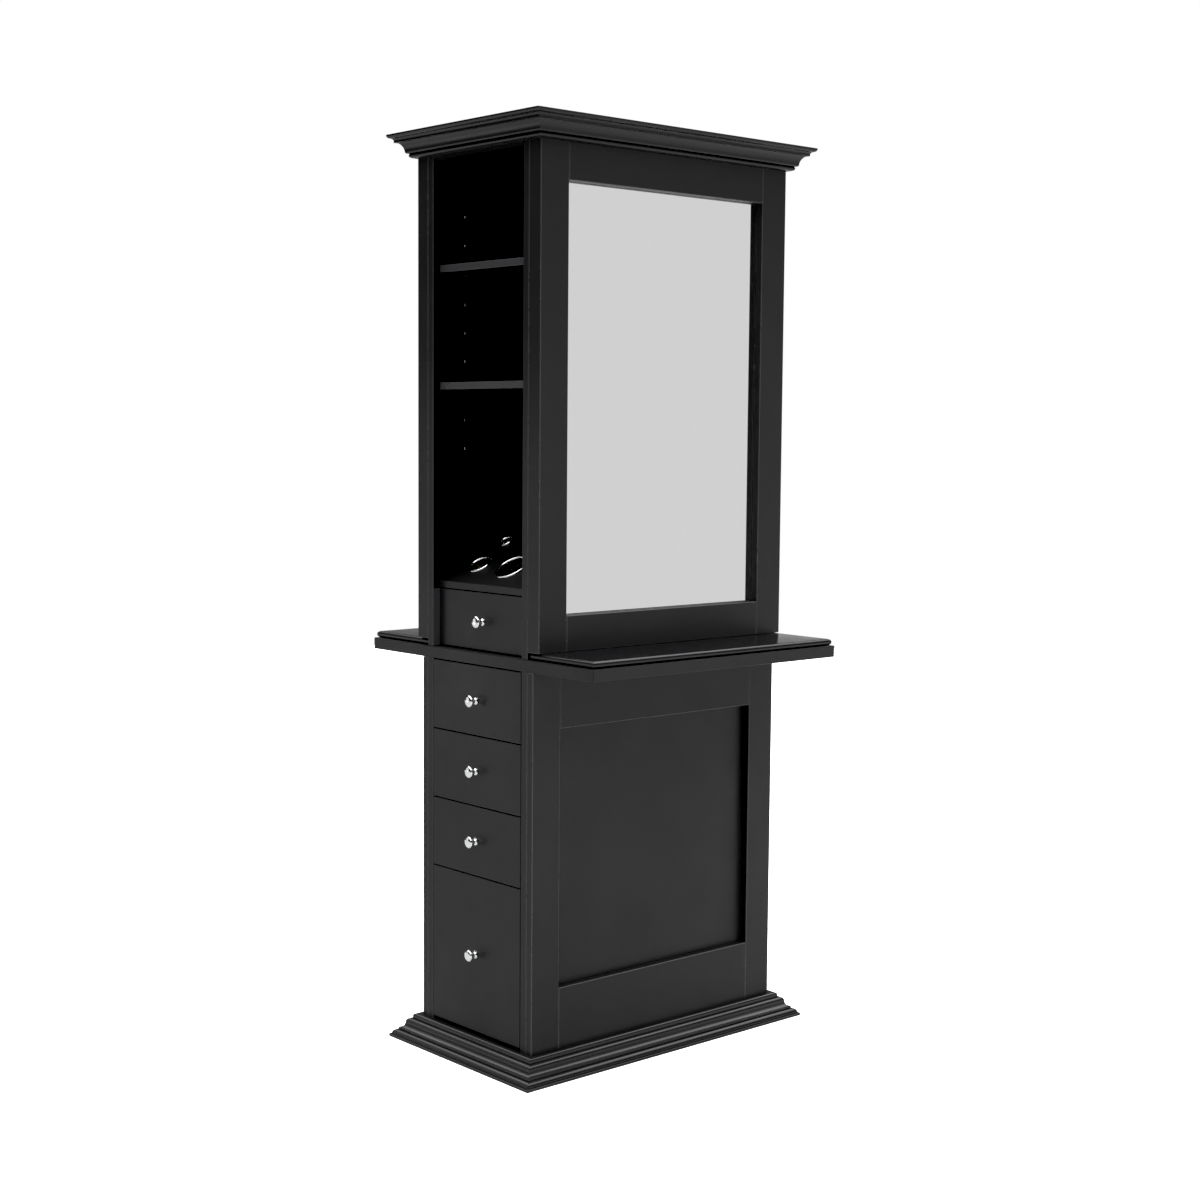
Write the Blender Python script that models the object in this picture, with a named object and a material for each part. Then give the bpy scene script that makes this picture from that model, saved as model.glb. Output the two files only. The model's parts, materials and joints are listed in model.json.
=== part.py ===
"""Double-sided salon styling station: a painted island cabinet with a framed mirror and a counter on
both long sides, and with shelves, a sloped tool panel and five drawers at each end.

Metres, +Z up. X runs along the length, and the mirrors face -Y and +Y. The origin is on the floor,
under the middle of the cabinet. "Front" is the -Y side, "back" the +Y side, "left" the -X end and
"right" the +X end. The right end is the left end turned half a turn about Z.
"""

import math

import bmesh
import bpy
from mathutils import Matrix, Vector

# ---------------------------------------------------------------- driving dimensions
HEIGHT = 2.032  # floor to the top of the crown
BODY_LENGTH = 0.728  # the cabinet without its mouldings, along X
CARCASS_WIDTH = 0.351  # over the outer faces of the carcass sides, along Y
BOARD = 0.019  # carcass boards, lower frames and drawer fronts
CONTACT = 0.0003  # gap left between pieces that touch
EASE = 0.0012  # width of an eased edge
COUNTER_EASE = 0.0015
OVERRUN = 0.010  # how far a cutter runs past the face that it opens

COUNTER_UNDERSIDE = 0.877  # height of the counter board's lower face
COUNTER_BOARD = 0.026  # its thickness
COUNTER_DEPTH = 0.774  # its width over both sides of the cabinet
COUNTER_TOP = 0.015  # thickness of the bullnosed top laid on it
COUNTER_TOP_INSET = 0.005  # how far that top stays inside the counter board's edges

MIRROR_FRAME = 0.038  # thickness of the mirror frames
MIRROR_LIP = 0.019  # part of that thickness in front of the glass
MIRROR_REBATE = 0.010  # how far the glass runs in behind the lip
REBATE_PLAY = 0.0015  # round the glass and the backing
GLASS = 0.005
STILE = 0.076  # width of the upright members of all four frames
UPPER_WINDOW = (0.9955, HEIGHT - 0.1305)  # bottom and top of the mirror opening
LOWER_WINDOW = (0.188, 0.752)  # bottom and top of the recessed panel
JOINT_GROOVE = 0.0012  # width of the line where a rail meets a stile
JOINT_GROOVE_DEPTH = 0.0008
JOINT_GROOVE_STOP = 0.002  # where the line stops short of the window
BACKING_BITE = 0.004  # how far the mirror's backing is let into the side panel

CROWN_HEIGHT = 0.053
CROWN_REACH = 0.050  # how far the crown stands out from the cabinet
BASE_HEIGHT = 0.054
BASE_REACH = 0.056
TOP_TONGUE_UNDERSIDE = HEIGHT - 0.061  # ceiling of the open shelves
TOP_TONGUE = 0.019  # part of the top that is let in between the sides
LEDGE_STEP = 0.001  # how far a moulding stands over the board that it runs round

SETBACK = 0.018  # shelves and top drawer from the cabinet's end
SHELF = 0.016
SHELF_FIT = 0.001  # play of a shelf at each side
PIN_TOP_ROW = HEIGHT - 0.177  # height of the uppermost row of pin holes
PIN_BOTTOM_ROW = 1.343  # clear of the tool panel
PIN_ROWS = 9
PIN_PITCH = (PIN_TOP_ROW - PIN_BOTTOM_ROW) / (PIN_ROWS - 1)
PIN_INSET = 0.0715  # from a shelf's front or back edge to its pins
PIN_RADIUS = 0.0025
PIN_DEPTH = 0.009  # depth of a pin hole
PIN_REACH = 0.009  # length of a pin under the shelf
PIN_CLEARANCE = 0.0003
PIN_SIDES = 8  # of a hole or a stud so slim
PIN_BITE = 0.0005  # how far a pin is let into the shelf that it carries
SHELF_ROWS = (2, 6)  # rows of holes that hold the upper and the lower shelf

TOOL_PANEL = 0.012  # thickness of the sloped panel
TOOL_SLOPE = math.radians(33)
TOOL_FRONT_UNDERSIDE = 1.035
# Outer radius of each ring, its distance up the slope and its place along Y.
TOOL_HOLES = {"small": (0.0185, 0.158, 0.084), "medium": (0.029, 0.068, 0.082), "large": (0.040, 0.068, -0.030)}
RING_WIDTH = 0.0045  # of the rim that lies on the panel
RING_HEIGHT = 0.003
SLEEVE_WALL = 0.0012
SLEEVE_LENGTH = 0.020
SLEEVE_CLEARANCE = 0.0004
RING_SIDES = 24

DRAWER_PITCH = 0.1555  # height of one equal drawer with its gap
EQUAL_DRAWERS = 3
FRONT_GAP = 0.0025  # between drawer fronts, and from them to the boards above and below
FRONT_SIDE_GAP = 0.0015
CONTACT_AT_COUNTER = 0.001  # more room under the top drawer, over the counter board's eased edge
TALL_FRONT_BOTTOM = 0.060
BOX_REAR_CLEARANCE = 0.010  # to the divider
BOX_WALL = 0.014
BOX_FLOOR = 0.007
BOX_SIDE_CLEARANCE = 0.002
BOX_BELOW_FRONT_TOP = 0.030  # how far a box stays below its front's upper edge
BOX_ABOVE_FRONT_BOTTOM = 0.010
TOP_BOX_HEIGHT = 0.058
RUNNER_HEIGHT = 0.016
RUNNER_BITE = 0.007  # how far a runner enters the groove of its drawer
RUNNER_HOUSING = 0.005  # how deep a runner is let into the side panel
RUNNER_REAR_GAP = 0.022  # from a runner to the divider
RUNNER_SETBACK = 0.012  # behind the drawer front
GROOVE_PLAY = 0.0015  # under and beside the runner
GROOVE_LEAD = 0.002  # how far the groove runs on past the runner's front end
RUNNER_LEVEL = 0.060  # greatest height of a runner's middle over its box's lower edge

KNOB_HEAD_RADIUS = 0.013
KNOB_HEAD = 0.0085
KNOB_NECK_RADIUS = 0.0042
KNOB_FLANGE_RADIUS = 0.0088
KNOB_FLANGE = 0.003
KNOB_REACH = 0.024  # from the drawer front to the knob's crown
KNOB_STUD_RADIUS = 0.002
KNOB_STUD = 0.012
STUD_PLAY = 0.0008  # of a stud in its hole, beyond its end and across
KNOB_SIDES = 16

# ---------------------------------------------------------------- derived places
HALF_LENGTH = BODY_LENGTH / 2
SIDE_OUTER = CARCASS_WIDTH / 2
SIDE_INNER = SIDE_OUTER - BOARD
UPPER_HALF_WIDTH = SIDE_OUTER + MIRROR_FRAME
LOWER_HALF_WIDTH = SIDE_OUTER + BOARD
COUNTER_LEVEL = COUNTER_UNDERSIDE + COUNTER_BOARD
MIRROR_FRAME_FOOT = COUNTER_LEVEL + CONTACT + COUNTER_TOP + CONTACT
TOP_SPREAD_UNDERSIDE = TOP_TONGUE_UNDERSIDE + TOP_TONGUE
WINDOW_HALF = HALF_LENGTH - STILE
SHELF_FRONT = -(HALF_LENGTH - SETBACK)
SHELF_BACK = -(BOARD / 2 + SHELF_FIT)
BOTTOM_BOARD_TOP = BASE_HEIGHT - LEDGE_STEP
TOP_FRONT_TOP = TOOL_FRONT_UNDERSIDE - FRONT_GAP
SLOPE_INWARD = (math.sin(TOOL_SLOPE), 0.0, -math.cos(TOOL_SLOPE))  # square to the tool panel, downwards


# ---------------------------------------------------------------- materials
def make_material(name, colour, roughness, metallic=0.0):
    material = bpy.data.materials.new(name)
    material.use_nodes = True
    shader = material.node_tree.nodes["Principled BSDF"]
    shader.inputs["Base Color"].default_value = (*colour, 1.0)
    shader.inputs["Roughness"].default_value = roughness
    shader.inputs["Metallic"].default_value = metallic
    return material


def make_materials():
    return {
        "paint": make_material("satin_black_paint", (0.014, 0.014, 0.015), 0.42),
        "gloss": make_material("counter_gloss_black", (0.012, 0.012, 0.013), 0.18),
        "inside": make_material("cabinet_inside_black", (0.010, 0.010, 0.010), 0.60),
        "chrome": make_material("polished_chrome", (0.82, 0.82, 0.83), 0.08, 1.0),
        "mirror": make_material("mirror_glass", (0.86, 0.87, 0.87), 0.02, 1.0),
        "birch": make_material("drawer_box_birch", (0.52, 0.38, 0.24), 0.55),
    }


# ---------------------------------------------------------------- mesh helpers
def add_object(name, shape, material, location=(0, 0, 0), parent=None):
    """Turns a bmesh into a named object with flat faces, one material and a place."""
    bmesh.ops.recalc_face_normals(shape, faces=shape.faces)
    mesh = bpy.data.meshes.new(name)
    shape.to_mesh(mesh)
    shape.free()
    if material is not None:
        mesh.materials.append(material)
    item = bpy.data.objects.new(name, mesh)
    item.location = location
    item.parent = parent
    bpy.context.scene.collection.objects.link(item)
    return item


def add_box(shape, low, high):
    """Adds a closed box between two corners to a bmesh."""
    low, high = Vector(low), Vector(high)
    place = Matrix.Translation((low + high) / 2) @ Matrix.Diagonal((*(high - low), 1.0))
    bmesh.ops.create_cube(shape, size=1.0, matrix=place)


def add_rod(shape, start, direction, length, radius, sides):
    """Adds a closed cylinder that runs from start along direction."""
    direction = Vector(direction).normalized()
    turn = direction.to_track_quat("Z", "Y").to_matrix().to_4x4()
    place = Matrix.Translation(Vector(start) + direction * length / 2) @ turn
    bmesh.ops.create_cone(
        shape, cap_ends=True, segments=sides, radius1=radius, radius2=radius, depth=length, matrix=place
    )


def board(name, low, high, material, parent=None, ease=EASE, segments=2):
    """A flat board between two corners, with its origin at its middle and its edges eased."""
    low, high = Vector(low), Vector(high)
    middle = (low + high) / 2
    shape = bmesh.new()
    add_box(shape, low - middle, high - middle)
    item = add_object(name, shape, material, middle, parent)
    if ease:
        ease_edges(item, ease, segments)
    return item


def ease_edges(item, width=EASE, segments=2):
    bevel = item.modifiers.new("eased_edges", "BEVEL")
    bevel.width = width
    bevel.segments = segments
    bevel.limit_method = "ANGLE"
    bevel.angle_limit = math.radians(50)


def combine(item, shape, operation, label):
    """Cuts a bmesh, given in the item's own place, out of the item or joins it on."""
    helper = add_object(f"{item.name}_{label}", shape, None, item.location, item.parent)
    helper.hide_render = True
    helper.display_type = "WIRE"
    step = item.modifiers.new(label, "BOOLEAN")
    step.operation = operation
    step.solver = "EXACT"
    step.object = helper


def cut_away(item, shape, label="cut"):
    combine(item, shape, "DIFFERENCE", label)


def join_on(item, shape, label="joined"):
    combine(item, shape, "UNION", label)


def shade_round(item, angle=math.radians(35)):
    item.data.shade_smooth()
    item.data.set_sharp_from_angle(angle=angle)


def turned(shape, profile, axis_place, sides):
    """Adds a closed turned body. The profile is (along, radius) pairs that start and end on the axis."""
    rings = []
    for along, radius in profile:
        if radius < 1e-6:
            rings.append([shape.verts.new(axis_place @ Vector((0, 0, along)))])
            continue
        ring = []
        for step in range(sides):
            turn = 2 * math.pi * step / sides
            point = Vector((radius * math.cos(turn), radius * math.sin(turn), along))
            ring.append(shape.verts.new(axis_place @ point))
        rings.append(ring)
    for lower, upper in zip(rings, rings[1:]):
        for step in range(sides):
            after = (step + 1) % sides
            corners = [lower[step % len(lower)], lower[after % len(lower)]]
            corners += [upper[after % len(upper)], upper[step % len(upper)]]
            shape.faces.new(list(dict.fromkeys(corners)))


def arc(centre, radius, start, end, steps):
    """Points of a circular arc, angles in degrees."""
    points = []
    for step in range(steps + 1):
        angle = math.radians(start + (end - start) * step / steps)
        points.append((centre[0] + radius * math.cos(angle), centre[1] + radius * math.sin(angle)))
    return points


# ---------------------------------------------------------------- mouldings
def mitred_moulding(name, profile, half_x, half_y, material):
    """Sweeps a profile of (reach, height) pairs round a rectangle, mitred at its four corners."""
    shape = bmesh.new()
    corners = [(-1, -1), (1, -1), (1, 1), (-1, 1)]
    loops = []
    for side_x, side_y in corners:
        loop = []
        for reach, height in profile:
            loop.append(shape.verts.new((side_x * (half_x + reach), side_y * (half_y + reach), height)))
        loops.append(loop)
    count = len(profile)
    for index in range(4):
        here, there = loops[index], loops[(index + 1) % 4]
        for point in range(count):
            after = (point + 1) % count
            shape.faces.new((here[point], there[point], there[after], here[after]))
    item = add_object(name, shape, material)
    shade_round(item, math.radians(28))
    return item


def bowed(start, end, bulge, steps=5):
    """Points after start along a shallow bow to end. It swells outwards where bulge is positive."""
    across = Vector((end[1] - start[1], start[0] - end[0])).normalized()
    control = (Vector(start) + Vector(end)) / 2 - across * 2 * bulge
    points = []
    for step in range(1, steps + 1):
        t = step / steps
        point = (1 - t) ** 2 * Vector(start) + 2 * t * (1 - t) * control + t * t * Vector(end)
        points.append(tuple(point))
    return points


def crown_profile():
    """The crown from its top edge down: fillet, ogee, fillet, cove with a round foot, and a bead."""

    def spot(inward, drop):
        return (CROWN_REACH - inward, HEIGHT - drop)

    ogee_middle, ogee_end = spot(0.0055, 0.0085), spot(0.0120, 0.0135)
    cove_start, cove_end = spot(0.0185, 0.0180), spot(0.0295, 0.0375)
    foot, bead_top, bead_end = spot(0.0335, 0.0415), spot(0.0375, 0.0415), spot(0.0380, 0.0500)
    points = [(CONTACT, HEIGHT), spot(0, 0), spot(0, 0.0025)]
    points += bowed(points[-1], ogee_middle, 0.0013)
    points += bowed(ogee_middle, ogee_end, -0.0013)
    points += [spot(0.0120, 0.0180), cove_start]
    points += bowed(cove_start, cove_end, -0.0025)
    points += bowed(cove_end, foot, 0.0010, steps=3)
    points.append(bead_top)
    points += bowed(bead_top, bead_end, 0.0022)
    points += [spot(0.0410, 0.0512), (CONTACT, HEIGHT - CROWN_HEIGHT)]
    return points


def base_profile():
    """The base from its ledge down: round, upright, quarter round, upright, cove, fillet, round, plinth."""
    ledge, shoulder = (0.0125, BASE_HEIGHT), (0.0170, BASE_HEIGHT - 0.0045)
    round_start, round_end = (0.0225, 0.0430), (0.0290, 0.0350)
    cove_start, cove_end = (0.0290, 0.0300), (0.0400, 0.0215)
    swell_start, swell_end = (0.0425, 0.0170), (0.0515, 0.0085)
    points = [(CONTACT, BASE_HEIGHT), ledge]
    points += bowed(ledge, shoulder, 0.0009, steps=3)
    points += [(shoulder[0], round_start[1]), round_start]
    points += bowed(round_start, round_end, 0.0016)
    points.append(cove_start)
    points += bowed(cove_start, cove_end, -0.0020)
    points += [(cove_end[0], swell_start[1]), swell_start]
    points += bowed(swell_start, swell_end, 0.0018)
    points += [(swell_end[0], 0.0060), (BASE_REACH, 0.0060), (BASE_REACH, 0.0), (CONTACT, 0.0)]
    return points


def build_mouldings(paint):
    mitred_moulding("base_moulding", base_profile(), HALF_LENGTH, LOWER_HALF_WIDTH, paint)
    mitred_moulding("crown_moulding", crown_profile(), HALF_LENGTH, UPPER_HALF_WIDTH, paint)


# ---------------------------------------------------------------- carcass
def pin_columns():
    """Places along X of the four columns of pin holes."""
    outer = SHELF_FRONT + PIN_INSET
    inner = SHELF_BACK - PIN_INSET
    return (outer, inner, -inner, -outer)


def pin_height(row):
    return PIN_TOP_ROW - PIN_PITCH * row


def build_sides(materials):
    for name, side in (("front", -1), ("back", 1)):
        near, far = sorted((side * SIDE_INNER, side * SIDE_OUTER))
        low, high = COUNTER_LEVEL + CONTACT, TOP_SPREAD_UNDERSIDE - CONTACT
        lower = board(
            f"lower_side_{name}",
            (-HALF_LENGTH, near, 0.0),
            (HALF_LENGTH, far, COUNTER_UNDERSIDE - CONTACT),
            materials["paint"],
            segments=1,
        )
        join_on(lower, runners_of(side, drawer_fronts()[1:], 1, lower.location), "runners")
        upper = board(
            f"upper_side_{name}", (-HALF_LENGTH, near, low), (HALF_LENGTH, far, high), materials["paint"], segments=1
        )
        cut_away(upper, pin_holes(side, upper.location), "pin_holes")
        join_on(upper, runners_of(side, drawer_fronts()[:1], 0, upper.location), "runners")
        join_on(upper, mirror_backing(side, upper.location), "mirror_backing")


def pin_holes(side, origin):
    shape = bmesh.new()
    for column in pin_columns():
        for row in range(PIN_ROWS):
            start = Vector((column, side * (SIDE_INNER - OVERRUN), pin_height(row))) - origin
            add_rod(shape, start, (0, side, 0), PIN_DEPTH + OVERRUN, PIN_RADIUS + PIN_CLEARANCE, PIN_SIDES)
    return shape


def runners_of(side, rows, first, origin):
    """The hardwood runners that are let into one side panel, one at each end for every drawer row."""
    shape = bmesh.new()
    wall = side * (SIDE_INNER + RUNNER_HOUSING)
    tip = side * (SIDE_INNER - BOX_SIDE_CLEARANCE - RUNNER_BITE)
    near, far = sorted((wall, tip))
    for index, (bottom, _, height) in enumerate(rows, first):
        face, low, high = box_places(index, bottom, height)
        outer = -(face + BOARD + CONTACT + RUNNER_SETBACK)
        inner = BOARD / 2 + RUNNER_REAR_GAP
        centre = runner_height(low, high)
        for end in (-1, 1):
            ends = sorted((end * inner, end * outer))
            corner = Vector((ends[0], near, centre - RUNNER_HEIGHT / 2))
            opposite = Vector((ends[1], far, centre + RUNNER_HEIGHT / 2))
            add_box(shape, corner - origin, opposite - origin)
    return shape


def mirror_backing(side, origin):
    """The backing planted on the side panel, which fills the rebate behind the glass."""
    edge = WINDOW_HALF + MIRROR_REBATE - REBATE_PLAY
    glass_rear = UPPER_HALF_WIDTH - MIRROR_LIP - CONTACT - GLASS
    near, far = sorted((side * (SIDE_OUTER - BACKING_BITE), side * (glass_rear - CONTACT)))
    shape = bmesh.new()
    add_box(
        shape,
        Vector((-edge, near, UPPER_WINDOW[0] - MIRROR_REBATE + REBATE_PLAY)) - origin,
        Vector((edge, far, UPPER_WINDOW[1] + MIRROR_REBATE - REBATE_PLAY)) - origin,
    )
    return shape


def build_boards(materials):
    paint = materials["paint"]
    inner = SIDE_INNER - CONTACT
    board(
        "bottom_board",
        (-HALF_LENGTH, -inner, BOTTOM_BOARD_TOP - BOARD),
        (HALF_LENGTH, inner, BOTTOM_BOARD_TOP),
        materials["inside"],
        ease=0,
    )
    board(
        "centre_divider",
        (-BOARD / 2, -inner, BOTTOM_BOARD_TOP + CONTACT),
        (BOARD / 2, inner, TOP_TONGUE_UNDERSIDE - CONTACT),
        materials["inside"],
        ease=0,
    )
    counter = board(
        "counter_board",
        (-HALF_LENGTH, -COUNTER_DEPTH / 2, COUNTER_UNDERSIDE),
        (HALF_LENGTH, COUNTER_DEPTH / 2, COUNTER_LEVEL),
        paint,
        ease=COUNTER_EASE,
    )
    slot = bmesh.new()
    half_slot = BOARD / 2 + CONTACT
    add_box(slot, (-half_slot, -SIDE_INNER, -COUNTER_BOARD), (half_slot, SIDE_INNER, COUNTER_BOARD))
    cut_away(counter, slot, "divider_slot")
    build_top_board(paint)


def build_top_board(material):
    """The built-up top: its lower layer is let in between the sides, its upper layers cover them."""
    inner = SIDE_INNER - CONTACT
    outline = [
        (-inner, TOP_TONGUE_UNDERSIDE),
        (inner, TOP_TONGUE_UNDERSIDE),
        (inner, TOP_SPREAD_UNDERSIDE),
        (UPPER_HALF_WIDTH, TOP_SPREAD_UNDERSIDE),
        (UPPER_HALF_WIDTH, HEIGHT - LEDGE_STEP),
        (-UPPER_HALF_WIDTH, HEIGHT - LEDGE_STEP),
        (-UPPER_HALF_WIDTH, TOP_SPREAD_UNDERSIDE),
        (-inner, TOP_SPREAD_UNDERSIDE),
    ]
    shape = bmesh.new()
    face = shape.faces.new([shape.verts.new((-HALF_LENGTH, y, z)) for y, z in outline])
    swept = bmesh.ops.extrude_face_region(shape, geom=[face])["geom"]
    moved = [item for item in swept if isinstance(item, bmesh.types.BMVert)]
    bmesh.ops.translate(shape, vec=(BODY_LENGTH, 0, 0), verts=moved)
    add_object("top_board", shape, material)


# ---------------------------------------------------------------- frames and mirrors
def framed_window(name, side, thickness, foot, head, window, material, rebate_from=None):
    """A frame of two stiles and two rails on one long side, with its window and the lines of its joints."""
    inner = SIDE_OUTER + CONTACT
    outer = SIDE_OUTER + thickness
    near, far = sorted((side * inner, side * outer))
    frame = board(name, (-HALF_LENGTH, near, foot), (HALF_LENGTH, far, head), material, ease=0)
    middle = frame.location
    bottom, top = window
    reach = thickness + OVERRUN
    shape = bmesh.new()
    add_box(
        shape,
        Vector((-WINDOW_HALF, -reach, bottom)) - Vector((0, 0, middle.z)),
        Vector((WINDOW_HALF, reach, top)) - Vector((0, 0, middle.z)),
    )
    cut_away(frame, shape, "window")
    if rebate_from is not None:
        shape = bmesh.new()
        edge = WINDOW_HALF + MIRROR_REBATE
        inner_face, rebate_face = sorted((side * (inner - OVERRUN), side * (outer - rebate_from)))
        low = Vector((-edge, inner_face, bottom - MIRROR_REBATE))
        high = Vector((edge, rebate_face, top + MIRROR_REBATE))
        add_box(shape, low - middle, high - middle)
        cut_away(frame, shape, "rebate")
    ease_edges(frame)
    shape = bmesh.new()
    groove_face = side * (outer - JOINT_GROOVE_DEPTH)
    outside = side * (outer + OVERRUN)
    low_y, high_y = sorted((groove_face, outside))
    for end in (-1, 1):
        line = end * WINDOW_HALF
        for low_z, high_z in (
            (foot - OVERRUN, bottom - JOINT_GROOVE_STOP),
            (top + JOINT_GROOVE_STOP, head + OVERRUN),
        ):
            low = Vector((line - JOINT_GROOVE / 2, low_y, low_z))
            high = Vector((line + JOINT_GROOVE / 2, high_y, high_z))
            add_box(shape, low - middle, high - middle)
    cut_away(frame, shape, "joint_lines")


def build_frames(materials):
    for name, side in (("front", -1), ("back", 1)):
        framed_window(
            f"lower_frame_{name}",
            side,
            BOARD,
            0.0,
            COUNTER_UNDERSIDE - CONTACT,
            LOWER_WINDOW,
            materials["paint"],
        )
        framed_window(
            f"mirror_frame_{name}",
            side,
            MIRROR_FRAME,
            MIRROR_FRAME_FOOT,
            TOP_SPREAD_UNDERSIDE - CONTACT,
            UPPER_WINDOW,
            materials["paint"],
            rebate_from=MIRROR_LIP,
        )
        build_mirror(name, side, materials["mirror"])


def build_mirror(name, side, material):
    """The glass, held behind the lip of its frame by the backing on the side panel."""
    edge = WINDOW_HALF + MIRROR_REBATE - REBATE_PLAY
    glass_face = UPPER_HALF_WIDTH - MIRROR_LIP - CONTACT
    near, far = sorted((side * glass_face, side * (glass_face - GLASS)))
    low = (-edge, near, UPPER_WINDOW[0] - MIRROR_REBATE + REBATE_PLAY)
    high = (edge, far, UPPER_WINDOW[1] + MIRROR_REBATE - REBATE_PLAY)
    board(f"mirror_{name}", low, high, material, ease=0)


# ---------------------------------------------------------------- counter
def build_counter_tops(material):
    """One bullnosed top on each side. It runs in under the mirror frame, up to the carcass side."""
    radius = COUNTER_TOP / 2
    centre = COUNTER_LEVEL + CONTACT + radius
    half_x = HALF_LENGTH - COUNTER_TOP_INSET
    outer = COUNTER_DEPTH / 2 - COUNTER_TOP_INSET
    inner = SIDE_OUTER + CONTACT
    for name, side in (("front", -1), ("back", 1)):
        shape = bmesh.new()
        loops = []
        for out, up in arc((0.0, 0.0), radius, -90, 90, 8):
            inset = radius - out
            x, y = half_x - inset, outer - inset
            corners = [(-x, inner), (-x, y), (x, y), (x, inner)]
            loops.append([shape.verts.new((cx, side * cy, centre + up)) for cx, cy in corners])
        for lower, upper in zip(loops, loops[1:]):
            for index in range(4):
                after = (index + 1) % 4
                shape.faces.new((lower[index], lower[after], upper[after], upper[index]))
        shape.faces.new(loops[0][::-1])
        shape.faces.new(loops[-1])
        item = add_object(f"counter_top_{name}", shape, material)
        shade_round(item)


# ---------------------------------------------------------------- one end
def build_shelves(end, parent, materials):
    """The two shelves, each with the four pins that carry it in the holes of the sides."""
    half = SIDE_INNER - SHELF_FIT
    for name, row in zip(("upper", "lower"), SHELF_ROWS):
        underside = pin_height(row) + PIN_RADIUS - PIN_BITE
        shelf = board(
            f"{end}_shelf_{name}",
            (SHELF_FRONT, -half, underside),
            (SHELF_BACK, half, underside + SHELF),
            materials["paint"],
            parent,
        )
        pins = bmesh.new()
        for column in pin_columns()[:2]:
            for side in (-1, 1):
                tip = side * (SIDE_INNER + PIN_DEPTH - PIN_CLEARANCE)
                start = Vector((column, tip, pin_height(row))) - shelf.location
                add_rod(pins, start, (0, -side, 0), PIN_DEPTH + PIN_REACH, PIN_RADIUS, 8)
        join_on(shelf, pins, "pins")


def slope_point(distance, lift=0.0):
    """A point on the tool panel's upper face, so far up the slope and so far off the face."""
    rise = TOOL_PANEL / math.cos(TOOL_SLOPE)
    x = SHELF_FRONT + distance * math.cos(TOOL_SLOPE) - lift * math.sin(TOOL_SLOPE)
    z = TOOL_FRONT_UNDERSIDE + rise + distance * math.sin(TOOL_SLOPE) + lift * math.cos(TOOL_SLOPE)
    return x, z


def build_tool_panel(end, parent, materials):
    """The sloped panel over the top drawer, with three holes that stand square to its face."""
    half = SIDE_INNER - CONTACT
    rise = TOOL_PANEL / math.cos(TOOL_SLOPE)
    back = -(BOARD / 2 + CONTACT)
    climb = (back - SHELF_FRONT) * math.tan(TOOL_SLOPE)
    low = TOOL_FRONT_UNDERSIDE
    outline = [(SHELF_FRONT, low), (back, low + climb), (back, low + climb + rise), (SHELF_FRONT, low + rise)]
    shape = bmesh.new()
    face = shape.faces.new([shape.verts.new((x, -half, z)) for x, z in outline])
    swept = bmesh.ops.extrude_face_region(shape, geom=[face])["geom"]
    moved = [item for item in swept if isinstance(item, bmesh.types.BMVert)]
    bmesh.ops.translate(shape, vec=(0, 2 * half, 0), verts=moved)
    panel = add_object(f"{end}_tool_panel", shape, materials["paint"], parent=parent)
    shape = bmesh.new()
    for radius, distance, across in TOOL_HOLES.values():
        x, z = slope_point(distance, 0.01)
        hole = radius - RING_WIDTH + SLEEVE_WALL + SLEEVE_CLEARANCE
        add_rod(shape, (x, across, z), SLOPE_INWARD, TOOL_PANEL + 0.02, hole, RING_SIDES)
    cut_away(panel, shape, "tool_holes")
    for size, place in TOOL_HOLES.items():
        build_ring(f"{end}_tool_ring_{size}", place, parent, materials["chrome"])


def build_ring(name, size, parent, material):
    """A chrome ring: a rounded rim on the panel and a sleeve through its hole."""
    radius, distance, across = size
    x, z = slope_point(distance)
    bore = radius - RING_WIDTH
    sleeve = bore + SLEEVE_WALL
    section = [(sleeve, CONTACT), (radius, CONTACT), (radius - 0.0006, CONTACT + RING_HEIGHT * 0.6)]
    section += [(radius - RING_WIDTH / 2, CONTACT + RING_HEIGHT), (bore, CONTACT + RING_HEIGHT * 0.5)]
    section += [(bore, -SLEEVE_LENGTH), (sleeve, -SLEEVE_LENGTH)]
    shape = bmesh.new()
    loops = []
    for step in range(RING_SIDES):
        angle = 2 * math.pi * step / RING_SIDES
        points = [(r * math.cos(angle), r * math.sin(angle), up) for r, up in section]
        loops.append([shape.verts.new(point) for point in points])
    count = len(section)
    for step in range(RING_SIDES):
        here, there = loops[step], loops[(step + 1) % RING_SIDES]
        for point in range(count):
            after = (point + 1) % count
            shape.faces.new((here[point], there[point], there[after], here[after]))
    ring = add_object(name, shape, material, (x, across, z), parent)
    ring.rotation_euler.y = -TOOL_SLOPE
    shade_round(ring)


# ---------------------------------------------------------------- drawers
def drawer_fronts():
    """Bottom and top of each drawer front, and the height of its box, from the top drawer down."""
    rows = [(COUNTER_LEVEL + FRONT_GAP + CONTACT_AT_COUNTER, TOP_FRONT_TOP, TOP_BOX_HEIGHT)]
    for index in range(EQUAL_DRAWERS):
        top = COUNTER_UNDERSIDE - index * DRAWER_PITCH - FRONT_GAP
        bottom = COUNTER_UNDERSIDE - (index + 1) * DRAWER_PITCH
        rows.append((bottom, top, top - bottom - BOX_BELOW_FRONT_TOP - BOX_ABOVE_FRONT_BOTTOM))
    top = COUNTER_UNDERSIDE - EQUAL_DRAWERS * DRAWER_PITCH - FRONT_GAP
    height = top - TALL_FRONT_BOTTOM - BOX_BELOW_FRONT_TOP - BOX_ABOVE_FRONT_BOTTOM
    rows.append((TALL_FRONT_BOTTOM, top, height))
    return rows


def box_places(index, bottom, height):
    """Where a drawer's front stands, and the lowest and highest point of its box."""
    face = SHELF_FRONT if index == 0 else -HALF_LENGTH
    low = bottom + BOX_ABOVE_FRONT_BOTTOM
    return face, low, low + height


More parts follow.
